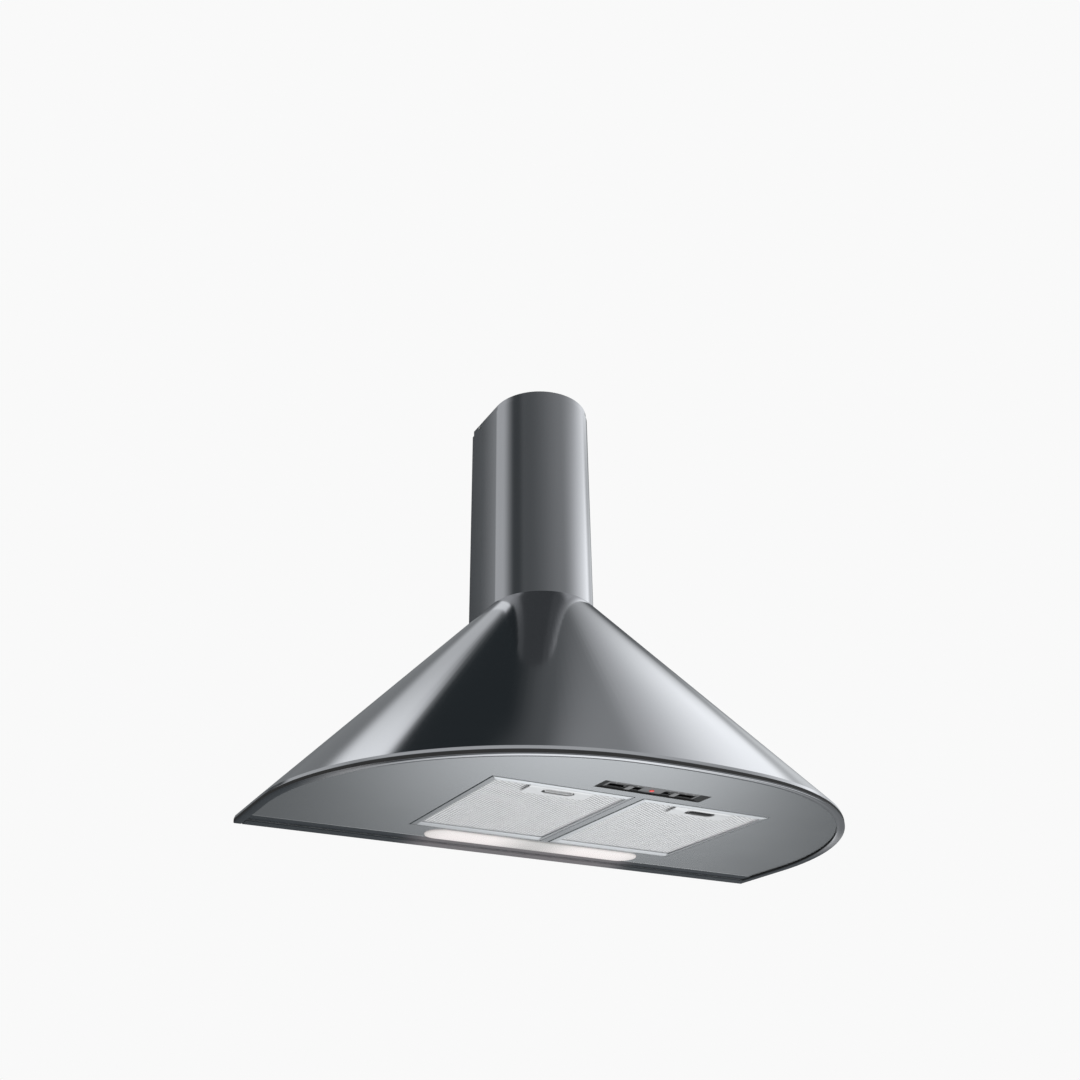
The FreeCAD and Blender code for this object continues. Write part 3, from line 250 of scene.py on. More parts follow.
# moulded plastic and rubber: fine pores and a faint cloud
def paintMoulding(dark, light, roughness, scale=1900):
    def paint(place):
        pores = place.noise(scale, 3)
        cloud = place.noise(40, 2)
        return {"Base Color": (pores * 0.4 + cloud * 0.6).tint(dark, light),
                "Roughness": roughness + pores * 0.14,
                "Normal": pores.bump(0.12, 0.0003)}
    return paint


# switch plate: black inlays round the two slots
plateLook = {"dark": grey(0.11, -0.02), "light": grey(0.15, -0.02), "roughness": 0.32, "inlay": grey(0.010),
             "middle": 0.043, "long": 0.0255, "slotY": 0.38947, "wide": 0.0085, "soft": 0.0004}


def paintPlate(place):
    look = paintMoulding(plateLook["dark"], plateLook["light"], plateLook["roughness"])(place)
    along = abs(abs(place.axis(0)) - plateLook["middle"])
    along = along.ease(plateLook["long"] + plateLook["soft"], plateLook["long"])
    across = abs(place.axis(1) + plateLook["slotY"])
    across = across.ease(plateLook["wide"] + plateLook["soft"], plateLook["wide"])
    look["Base Color"] = (along * across).tint(look["Base Color"], plateLook["inlay"])
    return look


# rolled steel of the motor's shell
motorLook = {"dark": grey(0.30, -0.03), "light": grey(0.46, -0.03), "roughness": 0.30}


def paintMotorSteel(place):
    roll = place.scaled(30, 900, 900).noise(1.0, 3)
    return {"Base Color": roll.tint(motorLook["dark"], motorLook["light"]),
            "Roughness": motorLook["roughness"] + roll * 0.16,
            "Normal": roll.bump(0.06, 0.0002)}


# plated screws and the turned shaft
zincLook = {"dark": (0.50, 0.50, 0.47, 1), "light": (0.66, 0.66, 0.64, 1), "roughness": 0.24, "blush": 320}


def paintZinc(place):
    blush = place.noise(zincLook["blush"], 3)
    return {"Base Color": blush.tint(zincLook["dark"], zincLook["light"]),
            "Roughness": zincLook["roughness"] + blush * 0.16,
            "Normal": blush.bump(0.06, 0.0002)}


# the cover glows most below the two bulbs
lampGlow = {"bulbs": 0.112, "reach": 0.11, "core": 0.25, "middle": 0.066, "edge": 0.027, "crown": 0.010,
            "dim": (0.11, 0.115, 0.11, 1), "bright": (0.52, 0.475, 0.47, 1),
            "dark": grey(0.34, 0.02), "light": grey(0.40, 0.02), "roughness": 0.24, "ribs": 210.0}


def paintDiffuser(place):
    away = abs(abs(place.axis(0)) - lampGlow["bulbs"])
    away = away.ease(lampGlow["reach"], lampGlow["reach"] * lampGlow["core"])
    across = abs(place.axis(1) + lampGlow["middle"]).ease(lampGlow["edge"], lampGlow["crown"])
    rib = place.node("ShaderNodeTexWave", {"bands_direction": "X"},
                     {"Vector": place, "Scale": lampGlow["ribs"]})
    return {"Base Color": rib.tint(lampGlow["dark"], lampGlow["light"]),
            "Emission Color": (away * 0.75 + across * 0.25).tint(lampGlow["dim"], lampGlow["bright"]),
            "Roughness": lampGlow["roughness"] + rib * 0.1,
            "Normal": rib.bump(0.05, 0.0004)}


# red lens of the pilot light
pilotLook = {"dark": (0.42, 0.012, 0.010, 1), "light": (0.70, 0.03, 0.022, 1), "roughness": 0.12,
             "scale": 900, "dim": (0.55, 0.02, 0.015, 1), "bright": (0.9, 0.06, 0.04, 1)}


def paintPilot(place):
    ring = place.noise(pilotLook["scale"], 2)
    return {"Base Color": ring.tint(pilotLook["dark"], pilotLook["light"]),
            "Emission Color": ring.tint(pilotLook["dim"], pilotLook["bright"]),
            "Roughness": pilotLook["roughness"] + ring * 0.08}


# frosted glass of the two bulbs
bulbLook = {"dark": (0.86, 0.84, 0.80, 1), "light": (0.95, 0.93, 0.89, 1), "roughness": 0.18, "scale": 260,
            "dim": (0.85, 0.80, 0.70, 1), "bright": (1.0, 0.95, 0.86, 1)}


def paintGlass(place):
    frost = place.noise(bulbLook["scale"], 2)
    return {"Base Color": frost.tint(bulbLook["dark"], bulbLook["light"]),
            "Emission Color": frost.tint(bulbLook["dim"], bulbLook["bright"]),
            "Roughness": bulbLook["roughness"] + frost * 0.12}


# woven board of the switches
boardLook = {"dark": (0.012, 0.085, 0.035, 1), "light": (0.03, 0.16, 0.07, 1), "roughness": 0.28,
             "weave": 900.0, "cloud": 90}


def paintBoard(place):
    weave = place.node("ShaderNodeTexChecker", None, {"Vector": place, "Scale": boardLook["weave"]}, 1)
    cloud = place.noise(boardLook["cloud"], 2)
    return {"Base Color": (weave * 0.35 + cloud * 0.65).tint(boardLook["dark"], boardLook["light"]),
            "Roughness": boardLook["roughness"] + weave * 0.12 + cloud * 0.06}


# one finish for each slot of the record, then those of single pieces
finishes = {
    "stainless": surface("polishedSheet", paintStainless, Metallic=1.0),
    "underside_steel": surface("undersideSheet", paintUnderside, Metallic=1.0),
    "galvanised": surface("zincSpangle", paintGalvanised, Metallic=1.0),
    "filter_aluminium": surface("filterFrameMetal", paintAluminium, Metallic=1.0),
    "filter_mesh": surface("filterStrands", paintMesh, Metallic=0.2),
    "latch_plastic": surface("latchMoulding", paintMoulding(grey(0.50, -0.01), grey(0.58, -0.01), 0.34)),
    "black_plastic": surface("blackMoulding", paintMoulding(grey(0.008), grey(0.014), 0.40),
                             Specular_IOR_Level=0.25),
    "grey_plastic": surface("switchPlate", paintMoulding(grey(0.42, -0.02), grey(0.50, -0.02), 0.32)),
    "white_plastic": surface("whiteMoulding", paintMoulding(grey(0.72, 0.01), grey(0.80, 0.01), 0.40)),
    "housing_plastic": surface("blowerMoulding", paintMoulding(grey(0.055), grey(0.085), 0.46, 1200)),
    "motor_steel": surface("motorShell", paintMotorSteel, Metallic=1.0),
    "shaft_steel": surface("turnedSteel", paintZinc, Metallic=1.0),
    "rubber": surface("softRubber", paintMoulding(grey(0.016), grey(0.030), 0.66, 900)),
    "zinc": surface("zincScrews", paintZinc, Metallic=1.0),
    "lamp_glass": surface("bulbGlass", paintGlass, Emission_Strength=0.9),
    "diffuser": surface("lampDiffuser", paintDiffuser, Emission_Strength=1.0),
    "pilot_red": surface("pilotRed", paintPilot, Emission_Strength=0.35),
    "board_green": surface("boardGreen", paintBoard),
    "cable_grey": surface("cableSheath", paintMoulding(grey(0.20), grey(0.28), 0.48, 700)),
}
foil = surface("filterFoil", paintFoil, Metallic=0.35)
handleSheet = surface("handleSheet", paintAluminium, Metallic=0.4)
marks = surface("switchMarks", paintMoulding(grey(0.70), grey(0.82), 0.45))
sheets = {"back_panel": surface("backSheet", paintBack, Specular_IOR_Level=0.1),
          "underside_panel": surface("panelSheet", paintPanel, Specular_IOR_Level=0.1)}
hemSheet = surface("hemSheet", paintHem, Specular_IOR_Level=0.1)
sliderGrey = surface("sliderMoulding", paintMoulding(grey(0.15, -0.02), grey(0.20, -0.02), 0.36))
plateSheet = surface("plateSheet", paintPlate, Specular_IOR_Level=0.3)
# dark copy of the latch moulding: painted shade on the right latch
latchPaintedShade = surface("latchPaintedShade", paintMoulding(grey(0.05), grey(0.07), 0.34))
for part in frame["record"]["subparts"]:
    cadMesh = frame["nodes"][part["node"]].data
    cadMesh.materials.clear()
    cadMesh.materials.append(sheets.get(part["node"], finishes[part["material_slot"]]))
print("finishes made:", len(finishes))


# all pieces are drawn in millimetres; edges past the sharp angle stay sharp
drawing = {"unit": 0.001, "leastRadius": 0.02, "lift": 0.005, "merge": 0.004, "sliver": 0.002,
           "sharp": math.radians(32)}


# a rounded rectangle: runs are extruded from one vertex and corners are spun
def roundLoop(bm, cx, cy, length, width, radius, z, steps=6):
    radius = max(min(radius, length / 2, width / 2), drawing["leastRadius"])
    hx, hy = length / 2 - radius, width / 2 - radius
    before = set(bm.edges)
    first = tip = bm.verts.new((cx + hx + radius, cy - hy, z))
    for sx, sy in ((1, 1), (-1, 1), (-1, -1), (1, -1)):
        grown = bmesh.ops.extrude_vert_indiv(bm, verts=[tip])["verts"][0]
        run = (0, hy * 2 * sy, 0) if sx == sy else (hx * 2 * sx, 0, 0)
        grown.co = (tip.co.x + run[0], tip.co.y + run[1], z)
        spun = bmesh.ops.spin(bm, geom=[grown], cent=(cx + hx * sx, cy + hy * sy, z), axis=(0, 0, 1),
                              angle=math.pi / 2, steps=steps, use_merge=False)
        tip = [v for v in spun["geom_last"] if isinstance(v, bmesh.types.BMVert)][0]
    bmesh.ops.pointmerge(bm, verts=[first, tip], merge_co=first.co)
    return [e for e in bm.edges if e not in before]


# neighbouring loops are bridged in turn, none quite level with the next; the ends may be capped or joined
def skin(bm, loops, capFirst=False, capLast=False, joined=False):
    for step, loop in enumerate(loops):
        corners = list({v for e in loop for v in e.verts})
        bmesh.ops.translate(bm, vec=(0, 0, step * drawing["lift"]), verts=corners)
    pairs = list(zip(loops, loops[1:]))
    if joined:
        pairs.append((loops[-1], loops[0]))
    for low, high in pairs:
        bmesh.ops.bridge_loops(bm, edges=low + high)
    for wanted, loop in ((capFirst, loops[0]), (capLast, loops[-1])):
        if wanted:
            bmesh.ops.contextual_create(bm, geom=loop)


# cleaned, turned outwards, brought to metres and put on its body
def makePiece(bm, name, body, slot, replaced=(), material=None):
    bmesh.ops.remove_doubles(bm, verts=bm.verts, dist=drawing["merge"])
    bmesh.ops.dissolve_degenerate(bm, edges=bm.edges, dist=drawing["sliver"])
    bmesh.ops.recalc_face_normals(bm, faces=bm.faces)
    bmesh.ops.scale(bm, vec=[drawing["unit"]] * 3, verts=bm.verts)
    for face in bm.faces:
        face.smooth = True
    for edge in bm.edges:
        edge.smooth = edge.calc_face_angle(0.0) < drawing["sharp"]
    mesh = bpy.data.meshes.new(name)
    bm.to_mesh(mesh)
    bm.free()
    piece = bpy.data.objects.new(name, mesh)
    scene.collection.objects.link(piece)
    mesh.materials.append(material or finishes[slot])
    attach(piece, body)
    if replaced:
        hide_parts(*replaced)
    print("made", name, len(mesh.polygons), "faces")
    return piece


# the hood's plan: straight sides, wide corner arcs and a long front arc, at rim level and at the chimney
plan = {"rim": {"half": 449.98, "cornerX": 54.0, "cornerY": -111.7, "frontY": 520.0},
        "neck": {"half": 89.4, "cornerX": 0.0, "cornerY": -96.0, "frontY": -96.0},
        "split": 4.886, "cornerSteps": 44, "frontSteps": 14}


def planChain(bm, level, z, inset=0.0):
    shape = plan[level]
    before = set(bm.edges)
    split = math.radians(plan["split"])
    tip = bm.verts.new((shape["half"] - inset, 0.0, z))
    grown = bmesh.ops.extrude_vert_indiv(bm, verts=[tip])["verts"][0]
    grown.co = (shape["half"] - inset, shape["cornerY"], z)
    turns = ((shape["cornerX"], shape["cornerY"], math.pi / 2 - split, plan["cornerSteps"]),
             (0.0, shape["frontY"], split * 2, plan["frontSteps"]),
             (-shape["cornerX"], shape["cornerY"], math.pi / 2 - split, plan["cornerSteps"]))
    for cx, cy, turn, steps in turns:
        spun = bmesh.ops.spin(bm, geom=[grown], cent=(cx, cy, z), axis=(0, 0, -1), angle=turn, steps=steps)
        grown = [v for v in spun["geom_last"] if isinstance(v, bmesh.types.BMVert)][0]
    last = bmesh.ops.extrude_vert_indiv(bm, verts=[grown])["verts"][0]
    last.co = (-shape["half"] + inset, 0.0, z)
    return [e for e in bm.edges if e not in before]


def closeEnds(bm):
    bmesh.ops.holes_fill(bm, edges=[e for e in bm.edges if e.is_boundary], sides=0)


# canopy: a ruled skin with a turned-in top edge
canopyForm = {"foot": 11.0, "top": 383.0, "skin": 2.6, "edge": 0.5, "roll": ((1.5, 11.0), (2.4, 12.0))}
bm = bmesh.new()
chains = [planChain(bm, "rim", z, inset) for inset, z in canopyForm["roll"]]
chains.append(planChain(bm, "neck", canopyForm["top"] - canopyForm["edge"]))
chains.append(planChain(bm, "neck", canopyForm["top"], canopyForm["edge"]))
chains.append(planChain(bm, "neck", canopyForm["top"], canopyForm["skin"]))
chains.append(planChain(bm, "rim", canopyForm["foot"], canopyForm["skin"]))
skin(bm, chains, joined=True)
closeEnds(bm)
makePiece(bm, "canopyShell", "hood", "stainless", ["canopy"])

# rim: a sloped bead, a band with the dark rubber finish as painted shade of a shadow gap, a flat hem below
# and a low lip inside; the two tops are in metres
rimForm = {"bead": ((2.6, 11.0), (1.5, 11.0), (0.2, 6.9), (0.0, 6.2), (0.0, 1.6)),
           "hem": ((0.25, 0.8), (0.8, 0.25), (1.7, 0.0), (10.4, 0.0), (11.3, 0.2), (11.8, 0.6)),
           "lip": ((12.0, 1.2), (12.0, 3.0), (11.0, 3.0), (11.0, 1.6)),
           "inside": ((10.4, 1.0), (1.9, 1.0), (1.2, 1.6), (1.2, 5.0), (2.6, 9.6)),
           "hemTop": 0.0016, "shadowStripTop": 0.0060}
rimProfile = [spot for run in ("bead", "hem", "lip", "inside") for spot in rimForm[run]]
bm = bmesh.new()
skin(bm, [planChain(bm, "rim", z, inset) for inset, z in rimProfile], joined=True)
closeEnds(bm)
piece = makePiece(bm, "rimBand", "hood", "stainless", ["rim_frame"])
# the band below the bead takes the dark rubber finish as painted shade of a shadow gap
piece.data.materials.append(finishes["rubber"])
piece.data.materials.append(hemSheet)
for face in piece.data.polygons:
    level = face.center.z
    face.material_index = 2 if level < rimForm["hemTop"] else int(level < rimForm["shadowStripTop"])

# chimney sleeves: half-round front, flat sides and flanges turned in along the wall
sleeves = {"lower": {"body": "hood", "node": "chimney_lower", "half": 87.5, "rear": 0.0,
                     "foot": 364.0, "top": 764.0, "vents": 0},
           "upper": {"body": "upper_chimney", "node": "chimney_upper", "half": 85.9, "rear": -1.6,
                     "foot": 366.6, "top": 775.9, "vents": 8},
           "wall": 1.0, "flange": 15.0, "middle": -96.0, "steps": 72, "ventRear": -43.5, "ventFront": -118.5,
           "ventLow": 648.0, "ventHigh": 4.8, "ventPitch": 12.0}


def sleeveChain(bm, half, rear, z):
    before = set(bm.edges)
    tip = bm.verts.new((half - sleeves["flange"], rear, z))
    for x, y in ((half, rear), (half, sleeves["ventRear"]), (half, sleeves["middle"])):
        tip = bmesh.ops.extrude_vert_indiv(bm, verts=[tip])["verts"][0]
        tip.co = (x, y, z)
    spun = bmesh.ops.spin(bm, geom=[tip], cent=(0, sleeves["middle"], z), axis=(0, 0, -1), angle=math.pi,
                          steps=sleeves["steps"])
    tip = [v for v in spun["geom_last"] if isinstance(v, bmesh.types.BMVert)][0]
    for x, y in ((-half, sleeves["ventRear"]), (-half, rear), (-half + sleeves["flange"], rear)):
        tip = bmesh.ops.extrude_vert_indiv(bm, verts=[tip])["verts"][0]
        tip.co = (x, y, z)
    return [e for e in bm.edges if e not in before]


for label in ("lower", "upper"):
    form = sleeves[label]
    bm = bmesh.new()
    ventFeet = [sleeves["ventLow"] + sleeves["ventPitch"] * n for n in range(form["vents"])]
    ventEdges = [foot + rise for foot in ventFeet for rise in (0.0, sleeves["ventHigh"])]
    levels = [form["foot"]] + ventEdges + [form["top"]]
    skin(bm, [sleeveChain(bm, form["half"], form["rear"], z) for z in levels])
    bmesh.ops.recalc_face_normals(bm, faces=bm.faces)
    if sum(f.normal.x * f.calc_center_median().x for f in bm.faces) < 0:
        bmesh.ops.reverse_faces(bm, faces=bm.faces)
    opened = []
    for face in bm.faces:
        spot = face.calc_center_median()
        atVent = any(0 < spot.z - foot < sleeves["ventHigh"] for foot in ventFeet)
        if atVent and sleeves["ventFront"] < spot.y < sleeves["ventRear"]:
            opened.append(face)
    bmesh.ops.delete(bm, geom=opened, context="FACES")
    bmesh.ops.solidify(bm, geom=bm.faces[:], thickness=sleeves["wall"])
    makePiece(bm, label + "Sleeve", form["body"], "stainless", [form["node"]])

# filters: cassette frames with a wide rear border, expanded mesh over foil, handle plates and latches
cassette = {"cx": 114.5, "cy": -228.5, "length": 215.0, "width": 263.0, "corner": 2.5, "innerCorner": 1.5,
            "rear": 12.4, "border": 8.5, "tilt": 0.0026,
            "outside": ((1.0, 11.5), (0.0, 11.2), (0.0, 3.9), (1.3, 2.6), (7.3, 1.62), (7.9, 1.5),
                        (8.6, 1.5)),
            "inside": ((9.0, 1.6), (9.1, 2.0), (9.1, 10.6), (8.6, 11.0), (1.6, 11.0))}
hingePin = {"y": -113.0, "z": 5.8, "root": 2.0, "tip": 1.7, "length": 4.0, "reach": 0.9, "segments": 20}
meshing = {"cells": 60, "cellLong": 10.0, "cellShort": 6.0, "strand": 0.72, "thick": 0.4, "level": 3.5}
foilForm = {"level": 4.5, "thick": 0.6, "segments": (38, 46), "wave": 0.4, "waveX": 0.52, "waveY": 0.47}
handle = {"cy": -337.0, "corner": 2.5, "slotY": -338.54,
          "plate": ((96.0, 30.0, 0.0, 1.5), (96.0, 30.0, 0.0, 1.35), (95.2, 25.0, 2.3, 0.3)),
          "slot": ((48.4, 18.4, 0.3), (47.6, 17.6, 0.7), (47.6, 17.6, 1.5))}
latch = {"cy": -341.04,
         "cup": ((50.0, 19.0, 2.8, 2.5), (50.0, 19.0, 1.6, 2.5), (42.0, 12.0, 1.6, 0), (42.0, 12.0, 0.7, 0),
                 (41.2, 11.2, 0.3, 0), (39.6, 9.6, 0.3, 0), (38.8, 8.8, 0.7, 0), (38.4, 8.4, 8.5, 0)),
         "back": ((50.0, 19.0, 2.8, 2.5), (42.0, 12.0, 2.8, 0), (42.0, 12.0, 9.5, 0), (41.0, 11.0, 10.0, 0)),
         "tongue": ((0.3, 4.5), (0.0, 4.8), (0.0, 6.7), (0.3, 7.0)), "tongueY": -351.3,
         "tongueLong": 12.0, "tongueWide": 9.4, "tongueCorner": 1.0,
         # the right latch takes the dark copy of the moulding as painted shade
         "left": finishes["latch_plastic"], "right": latchPaintedShade,
         "room": (27.0, -325.5), "collar": (20.2, 5.2, 1.4)}
pill = {"radius": 20, "steps": 12}  # a radius past half the width gives round ends


# the sheets behind the handle are cut away round the latch, with room for its slide
def clearLatch(bm, cx):
    reach, rear = latch["room"]
    for x, y, across in ((cx - reach, 0, (1, 0, 0)), (cx + reach, 0, (1, 0, 0)), (0, rear, (0, 1, 0))):
        bmesh.ops.bisect_plane(bm, geom=bm.verts[:] + bm.edges[:] + bm.faces[:],
                               plane_co=(x, y, 0), plane_no=across)
    middles = [(face, face.calc_center_median()) for face in bm.faces]
    cut = [face for face, middle in middles if abs(middle.x - cx) < reach and middle.y < rear]
    bmesh.ops.delete(bm, geom=cut, context="FACES")


for side, label in ((-1, "left"), (1, "right")):
    cx = cassette["cx"] * side
    body = "filter_" + label
    bm = bmesh.new()
    loops = [roundLoop(bm, cx, cassette["cy"], cassette["length"] - inset * 2, cassette["width"] - inset * 2,
                       cassette["corner"], z) for inset, z in cassette["outside"]]
    openY = cassette["cy"] - cassette["rear"] / 2
    loops += [roundLoop(bm, cx, openY, cassette["length"] - inset * 2,
                        cassette["width"] - inset * 2 - cassette["rear"], cassette["innerCorner"], z)
              for inset, z in cassette["inside"]]
    # the wide rear border tips up a little towards the mesh
    for vert in {v for loop in loops[len(cassette["outside"]):][:2] for e in loop for v in e.verts}:
        vert.co.z += cassette["tilt"] * (vert.co.y - cassette["cy"] + cassette["width"] / 2)
    skin(bm, loops, joined=True)
    for end in (-1, 1):
        pin = bmesh.ops.create_cone(bm, cap_ends=True, segments=hingePin["segments"],
                                    radius1=hingePin["root"], radius2=hingePin["tip"],
                                    depth=hingePin["length"])["verts"]
        bmesh.ops.rotate(bm, cent=(0, 0, 0), matrix=Matrix.Rotation(math.pi / 2 * end, 3, "Y"), verts=pin)
        place = (cx + end * (cassette["length"] / 2 + hingePin["reach"]), hingePin["y"], hingePin["z"])
        bmesh.ops.translate(bm, vec=place, verts=pin)
    makePiece(bm, "filterFrame." + label, body, "filter_aluminium", ["filter_frame_" + label])

    # diamonds: a grid turned by half a right angle, each cell inset and opened, then trimmed to the frame
    bm = bmesh.new()
    openLong = cassette["length"] - cassette["border"] * 2
    openWide = cassette["width"] - cassette["rear"] - cassette["border"] * 2
    stretch = meshing["cells"] / math.sqrt(2)
    bmesh.ops.create_grid(bm, x_segments=meshing["cells"], y_segments=meshing["cells"], size=0.5)
    bmesh.ops.rotate(bm, cent=(0, 0, 0), matrix=Matrix.Rotation(math.pi / 4, 3, "Z"), verts=bm.verts)
    cellSize = (meshing["cellLong"] * stretch, meshing["cellShort"] * stretch, 1)
    bmesh.ops.scale(bm, vec=cellSize, verts=bm.verts)
    bmesh.ops.translate(bm, vec=(cx, openY, meshing["level"]), verts=bm.verts)
    bmesh.ops.reverse_faces(bm, faces=bm.faces)
    holes = bm.faces[:]
    bmesh.ops.inset_individual(bm, faces=holes, thickness=meshing["strand"], use_even_offset=True)
    bmesh.ops.delete(bm, geom=holes, context="FACES")
    halfLong, halfWide = openLong / 2, openWide / 2
    for nx, ny, reach in ((1, 0, halfLong), (-1, 0, halfLong), (0, 1, halfWide), (0, -1, halfWide)):
        bmesh.ops.bisect_plane(bm, geom=bm.verts[:] + bm.edges[:] + bm.faces[:], clear_outer=True,
                               plane_co=(cx + nx * reach, openY + ny * reach, 0), plane_no=(nx, ny, 0))
    clearLatch(bm, cx)
    bmesh.ops.solidify(bm, geom=bm.faces[:], thickness=meshing["thick"])
    makePiece(bm, "filterMesh." + label, body, "filter_mesh")

    # foil layers behind the mesh, pressed into shallow waves
    bm = bmesh.new()
    along, across = foilForm["segments"]
    bmesh.ops.create_grid(bm, x_segments=along, y_segments=across, size=0.5)
    bmesh.ops.scale(bm, vec=(openLong, openWide, 1), verts=bm.verts)
    bmesh.ops.translate(bm, vec=(cx, openY, foilForm["level"]), verts=bm.verts)
    for vert in bm.verts:
        ripple = math.sin(vert.co.x * foilForm["waveX"]) * math.cos(vert.co.y * foilForm["waveY"])
        vert.co.z += foilForm["wave"] * ripple
    bmesh.ops.reverse_faces(bm, faces=bm.faces)
    clearLatch(bm, cx)
    bmesh.ops.solidify(bm, geom=bm.faces[:], thickness=foilForm["thick"])
    makePiece(bm, "filterFoil." + label, body, "filter_mesh", ["filter_mesh_" + label], material=foil)

    # handle plate with a finger slot; its front edge slopes gently
    bm = bmesh.new()
    loops = [roundLoop(bm, cx, handle["cy"] + shift, long, wide, handle["corner"], z, pill["steps"])
             for long, wide, shift, z in handle["plate"]]
    loops += [roundLoop(bm, cx, handle["slotY"], long, wide, pill["radius"], z, pill["steps"])
              for long, wide, z in handle["slot"]]
    skin(bm, loops, joined=True)
    makePiece(bm, "filterHandle." + label, body, "filter_aluminium", ["filter_handle_" + label],
              material=handleSheet)

    # sliding latch: a finger cup with a flange behind the plate and a tongue to the front
    bm = bmesh.new()
    for part in ("cup", "back"):
        loops = [roundLoop(bm, cx, latch["cy"] + shift, long, wide, pill["radius"], z, pill["steps"])
                 for long, wide, z, shift in latch[part]]
        skin(bm, loops, capLast=True)
    loops = [roundLoop(bm, cx, latch["tongueY"], latch["tongueLong"] - cut * 2, latch["tongueWide"] - cut * 2,
                       latch["tongueCorner"], z) for cut, z in latch["tongue"]]
    skin(bm, loops, capFirst=True, capLast=True)
    piece = makePiece(bm, "filterLatch." + label, "latch_" + label, "latch_plastic",
                      ["filter_latch_" + label], material=latch[label])
    piece.data.materials.append(finishes["black_plastic"])
    # the collar behind the slot is black
    endX, endY, low = latch["collar"]
    for face in piece.data.polygons:
        spot = face.center / drawing["unit"]
        outside = abs(spot.x - cx) > endX or abs(spot.y - latch["cy"]) > endY
        face.material_index = int(outside and spot.z > low)
print("filters made")

# lamp cover: a shallow oblong tray of finely ribbed plastic with a crowned face
lampForm = {"cy": -66.0, "length": 364.8, "width": 48.8, "radius": 40, "steps": 24,
            "outside": ((0.0, 9.4), (0.0, 3.0), (0.2, 2.2), (0.8, 1.6), (1.9, 1.25), (5.0, 1.08),
                        (11.0, 1.0)),
            "inside": ((0.0, 9.4), (1.6, 9.4), (1.6, 4.2), (2.6, 3.4), (11.0, 3.0))}
bm = bmesh.new()
for part in ("outside", "inside"):
    loops = [roundLoop(bm, 0, lampForm["cy"], lampForm["length"] - cut * 2, lampForm["width"] - cut * 2,
                       lampForm["radius"], z, lampForm["steps"]) for cut, z in lampForm[part]]
    skin(bm, loops, capLast=True)
makePiece(bm, "lampCover", "lamp_cover", "diffuser", ["lamp_cover"])

# controls: bevelled tray, plate with two slots, sliders, pilot lens and plain strokes
control = {"cy": -393.5, "slotY": -389.47, "knob": 36.0, "plateLow": 5.2, "plateHigh": 6.2,
           "plate": (143.4, 26.4, 1.2), "slotMiddle": 43.0, "slot": (50.0, 9.0, 1.6), "hole": (5.2, 5.2, 3.0),
           "tray": ((167.4, 30.4, 1.2, 25.0), (167.4, 30.4, 1.2, 5.0), (174.0, 37.0, 2.0, 5.0),
                    (174.0, 37.0, 2.0, 4.0), (167.4, 30.4, 1.2, 4.0), (167.4, 30.4, 1.2, 3.3),
                    (166.9, 29.9, 1.2, 3.0), (165.6, 29.5, 1.4, 3.0), (164.8, 29.1, 1.6, 3.15),
                    (144.4, 27.1, 1.6, 5.0), (144.0, 27.0, 1.5, 5.4), (144.0, 27.0, 1.5, 25.0)),
           "slider": ((12.0, 11.7, 1.0, 8.0), (12.0, 11.7, 1.0, 6.5), (8.0, 8.4, 0.8, 6.5),
                      (8.0, 8.4, 0.8, 5.1), (9.0, 15.0, 1.0, 5.1), (9.0, 15.0, 1.0, 4.6),
                      (8.2, 14.2, 0.8, 4.1)),
           "lens": ((5.0, 7.4), (5.0, 5.15), (7.0, 5.15), (7.0, 4.8), (6.2, 4.5), (3.0, 4.4)),
           "lensRadius": 4.0, "lensSteps": 8,
           "strokes": ((-61.0, 0.7, 2.4), (-27.0, 2.4, 0.7), (24.0, 0.7, 1.4), (37.0, 0.7, 1.9),
                       (49.0, 0.7, 2.4), (62.0, 0.7, 2.9)),
           "strokeY": -398.6, "strokeLevels": (5.17, 5.22), "strokeCorner": 0.2}
bm = bmesh.new()
loops = [roundLoop(bm, 0, control["cy"], long, wide, radius, z) for long, wide, radius, z in control["tray"]]
skin(bm, loops, joined=True)
makePiece(bm, "controlTray", "hood", "black_plastic", ["control_tray"])

bm = bmesh.new()
edges = roundLoop(bm, 0, control["cy"], *control["plate"], control["plateLow"])
for side in (-1, 1):
    middle = control["slotMiddle"] * side
    edges += roundLoop(bm, middle, control["slotY"], *control["slot"], control["plateLow"])
edges += roundLoop(bm, 0, control["slotY"], *control["hole"], control["plateLow"])
bmesh.ops.triangle_fill(bm, use_beauty=True, edges=edges, normal=(0, 0, -1))
bmesh.ops.recalc_face_normals(bm, faces=bm.faces)
if bm.faces[:][0].normal.z > 0:
    bmesh.ops.reverse_faces(bm, faces=bm.faces)
bmesh.ops.solidify(bm, geom=bm.faces[:], thickness=control["plateHigh"] - control["plateLow"])
makePiece(bm, "controlPlate", "hood", "grey_plastic", ["control_plate"], material=plateSheet)

for side, label in ((-1, "light"), (1, "speed")):
    bm = bmesh.new()
    loops = [roundLoop(bm, control["knob"] * side, control["slotY"], long, wide, radius, z)
             for long, wide, radius, z in control["slider"]]
    skin(bm, loops, capFirst=True, capLast=True)
    makePiece(bm, label + "Slider", label + "_switch", "grey_plastic", [label + "_slider"],
              material=sliderGrey)

bm = bmesh.new()
loops = [roundLoop(bm, 0, control["slotY"], size, size, control["lensRadius"], z, control["lensSteps"])
         for size, z in control["lens"]]
skin(bm, loops, capFirst=True, capLast=True)
makePiece(bm, "pilotLens", "hood", "pilot_red", ["pilot_lens"])

bm = bmesh.new()
for x, long, wide in control["strokes"]:
    loops = [roundLoop(bm, x, control["strokeY"], long, wide, control["strokeCorner"], z, 3)
             for z in control["strokeLevels"]]
    skin(bm, loops, capFirst=True, capLast=True)
makePiece(bm, "switchStrokes", "hood", "white_plastic", material=marks)
print("controls made")

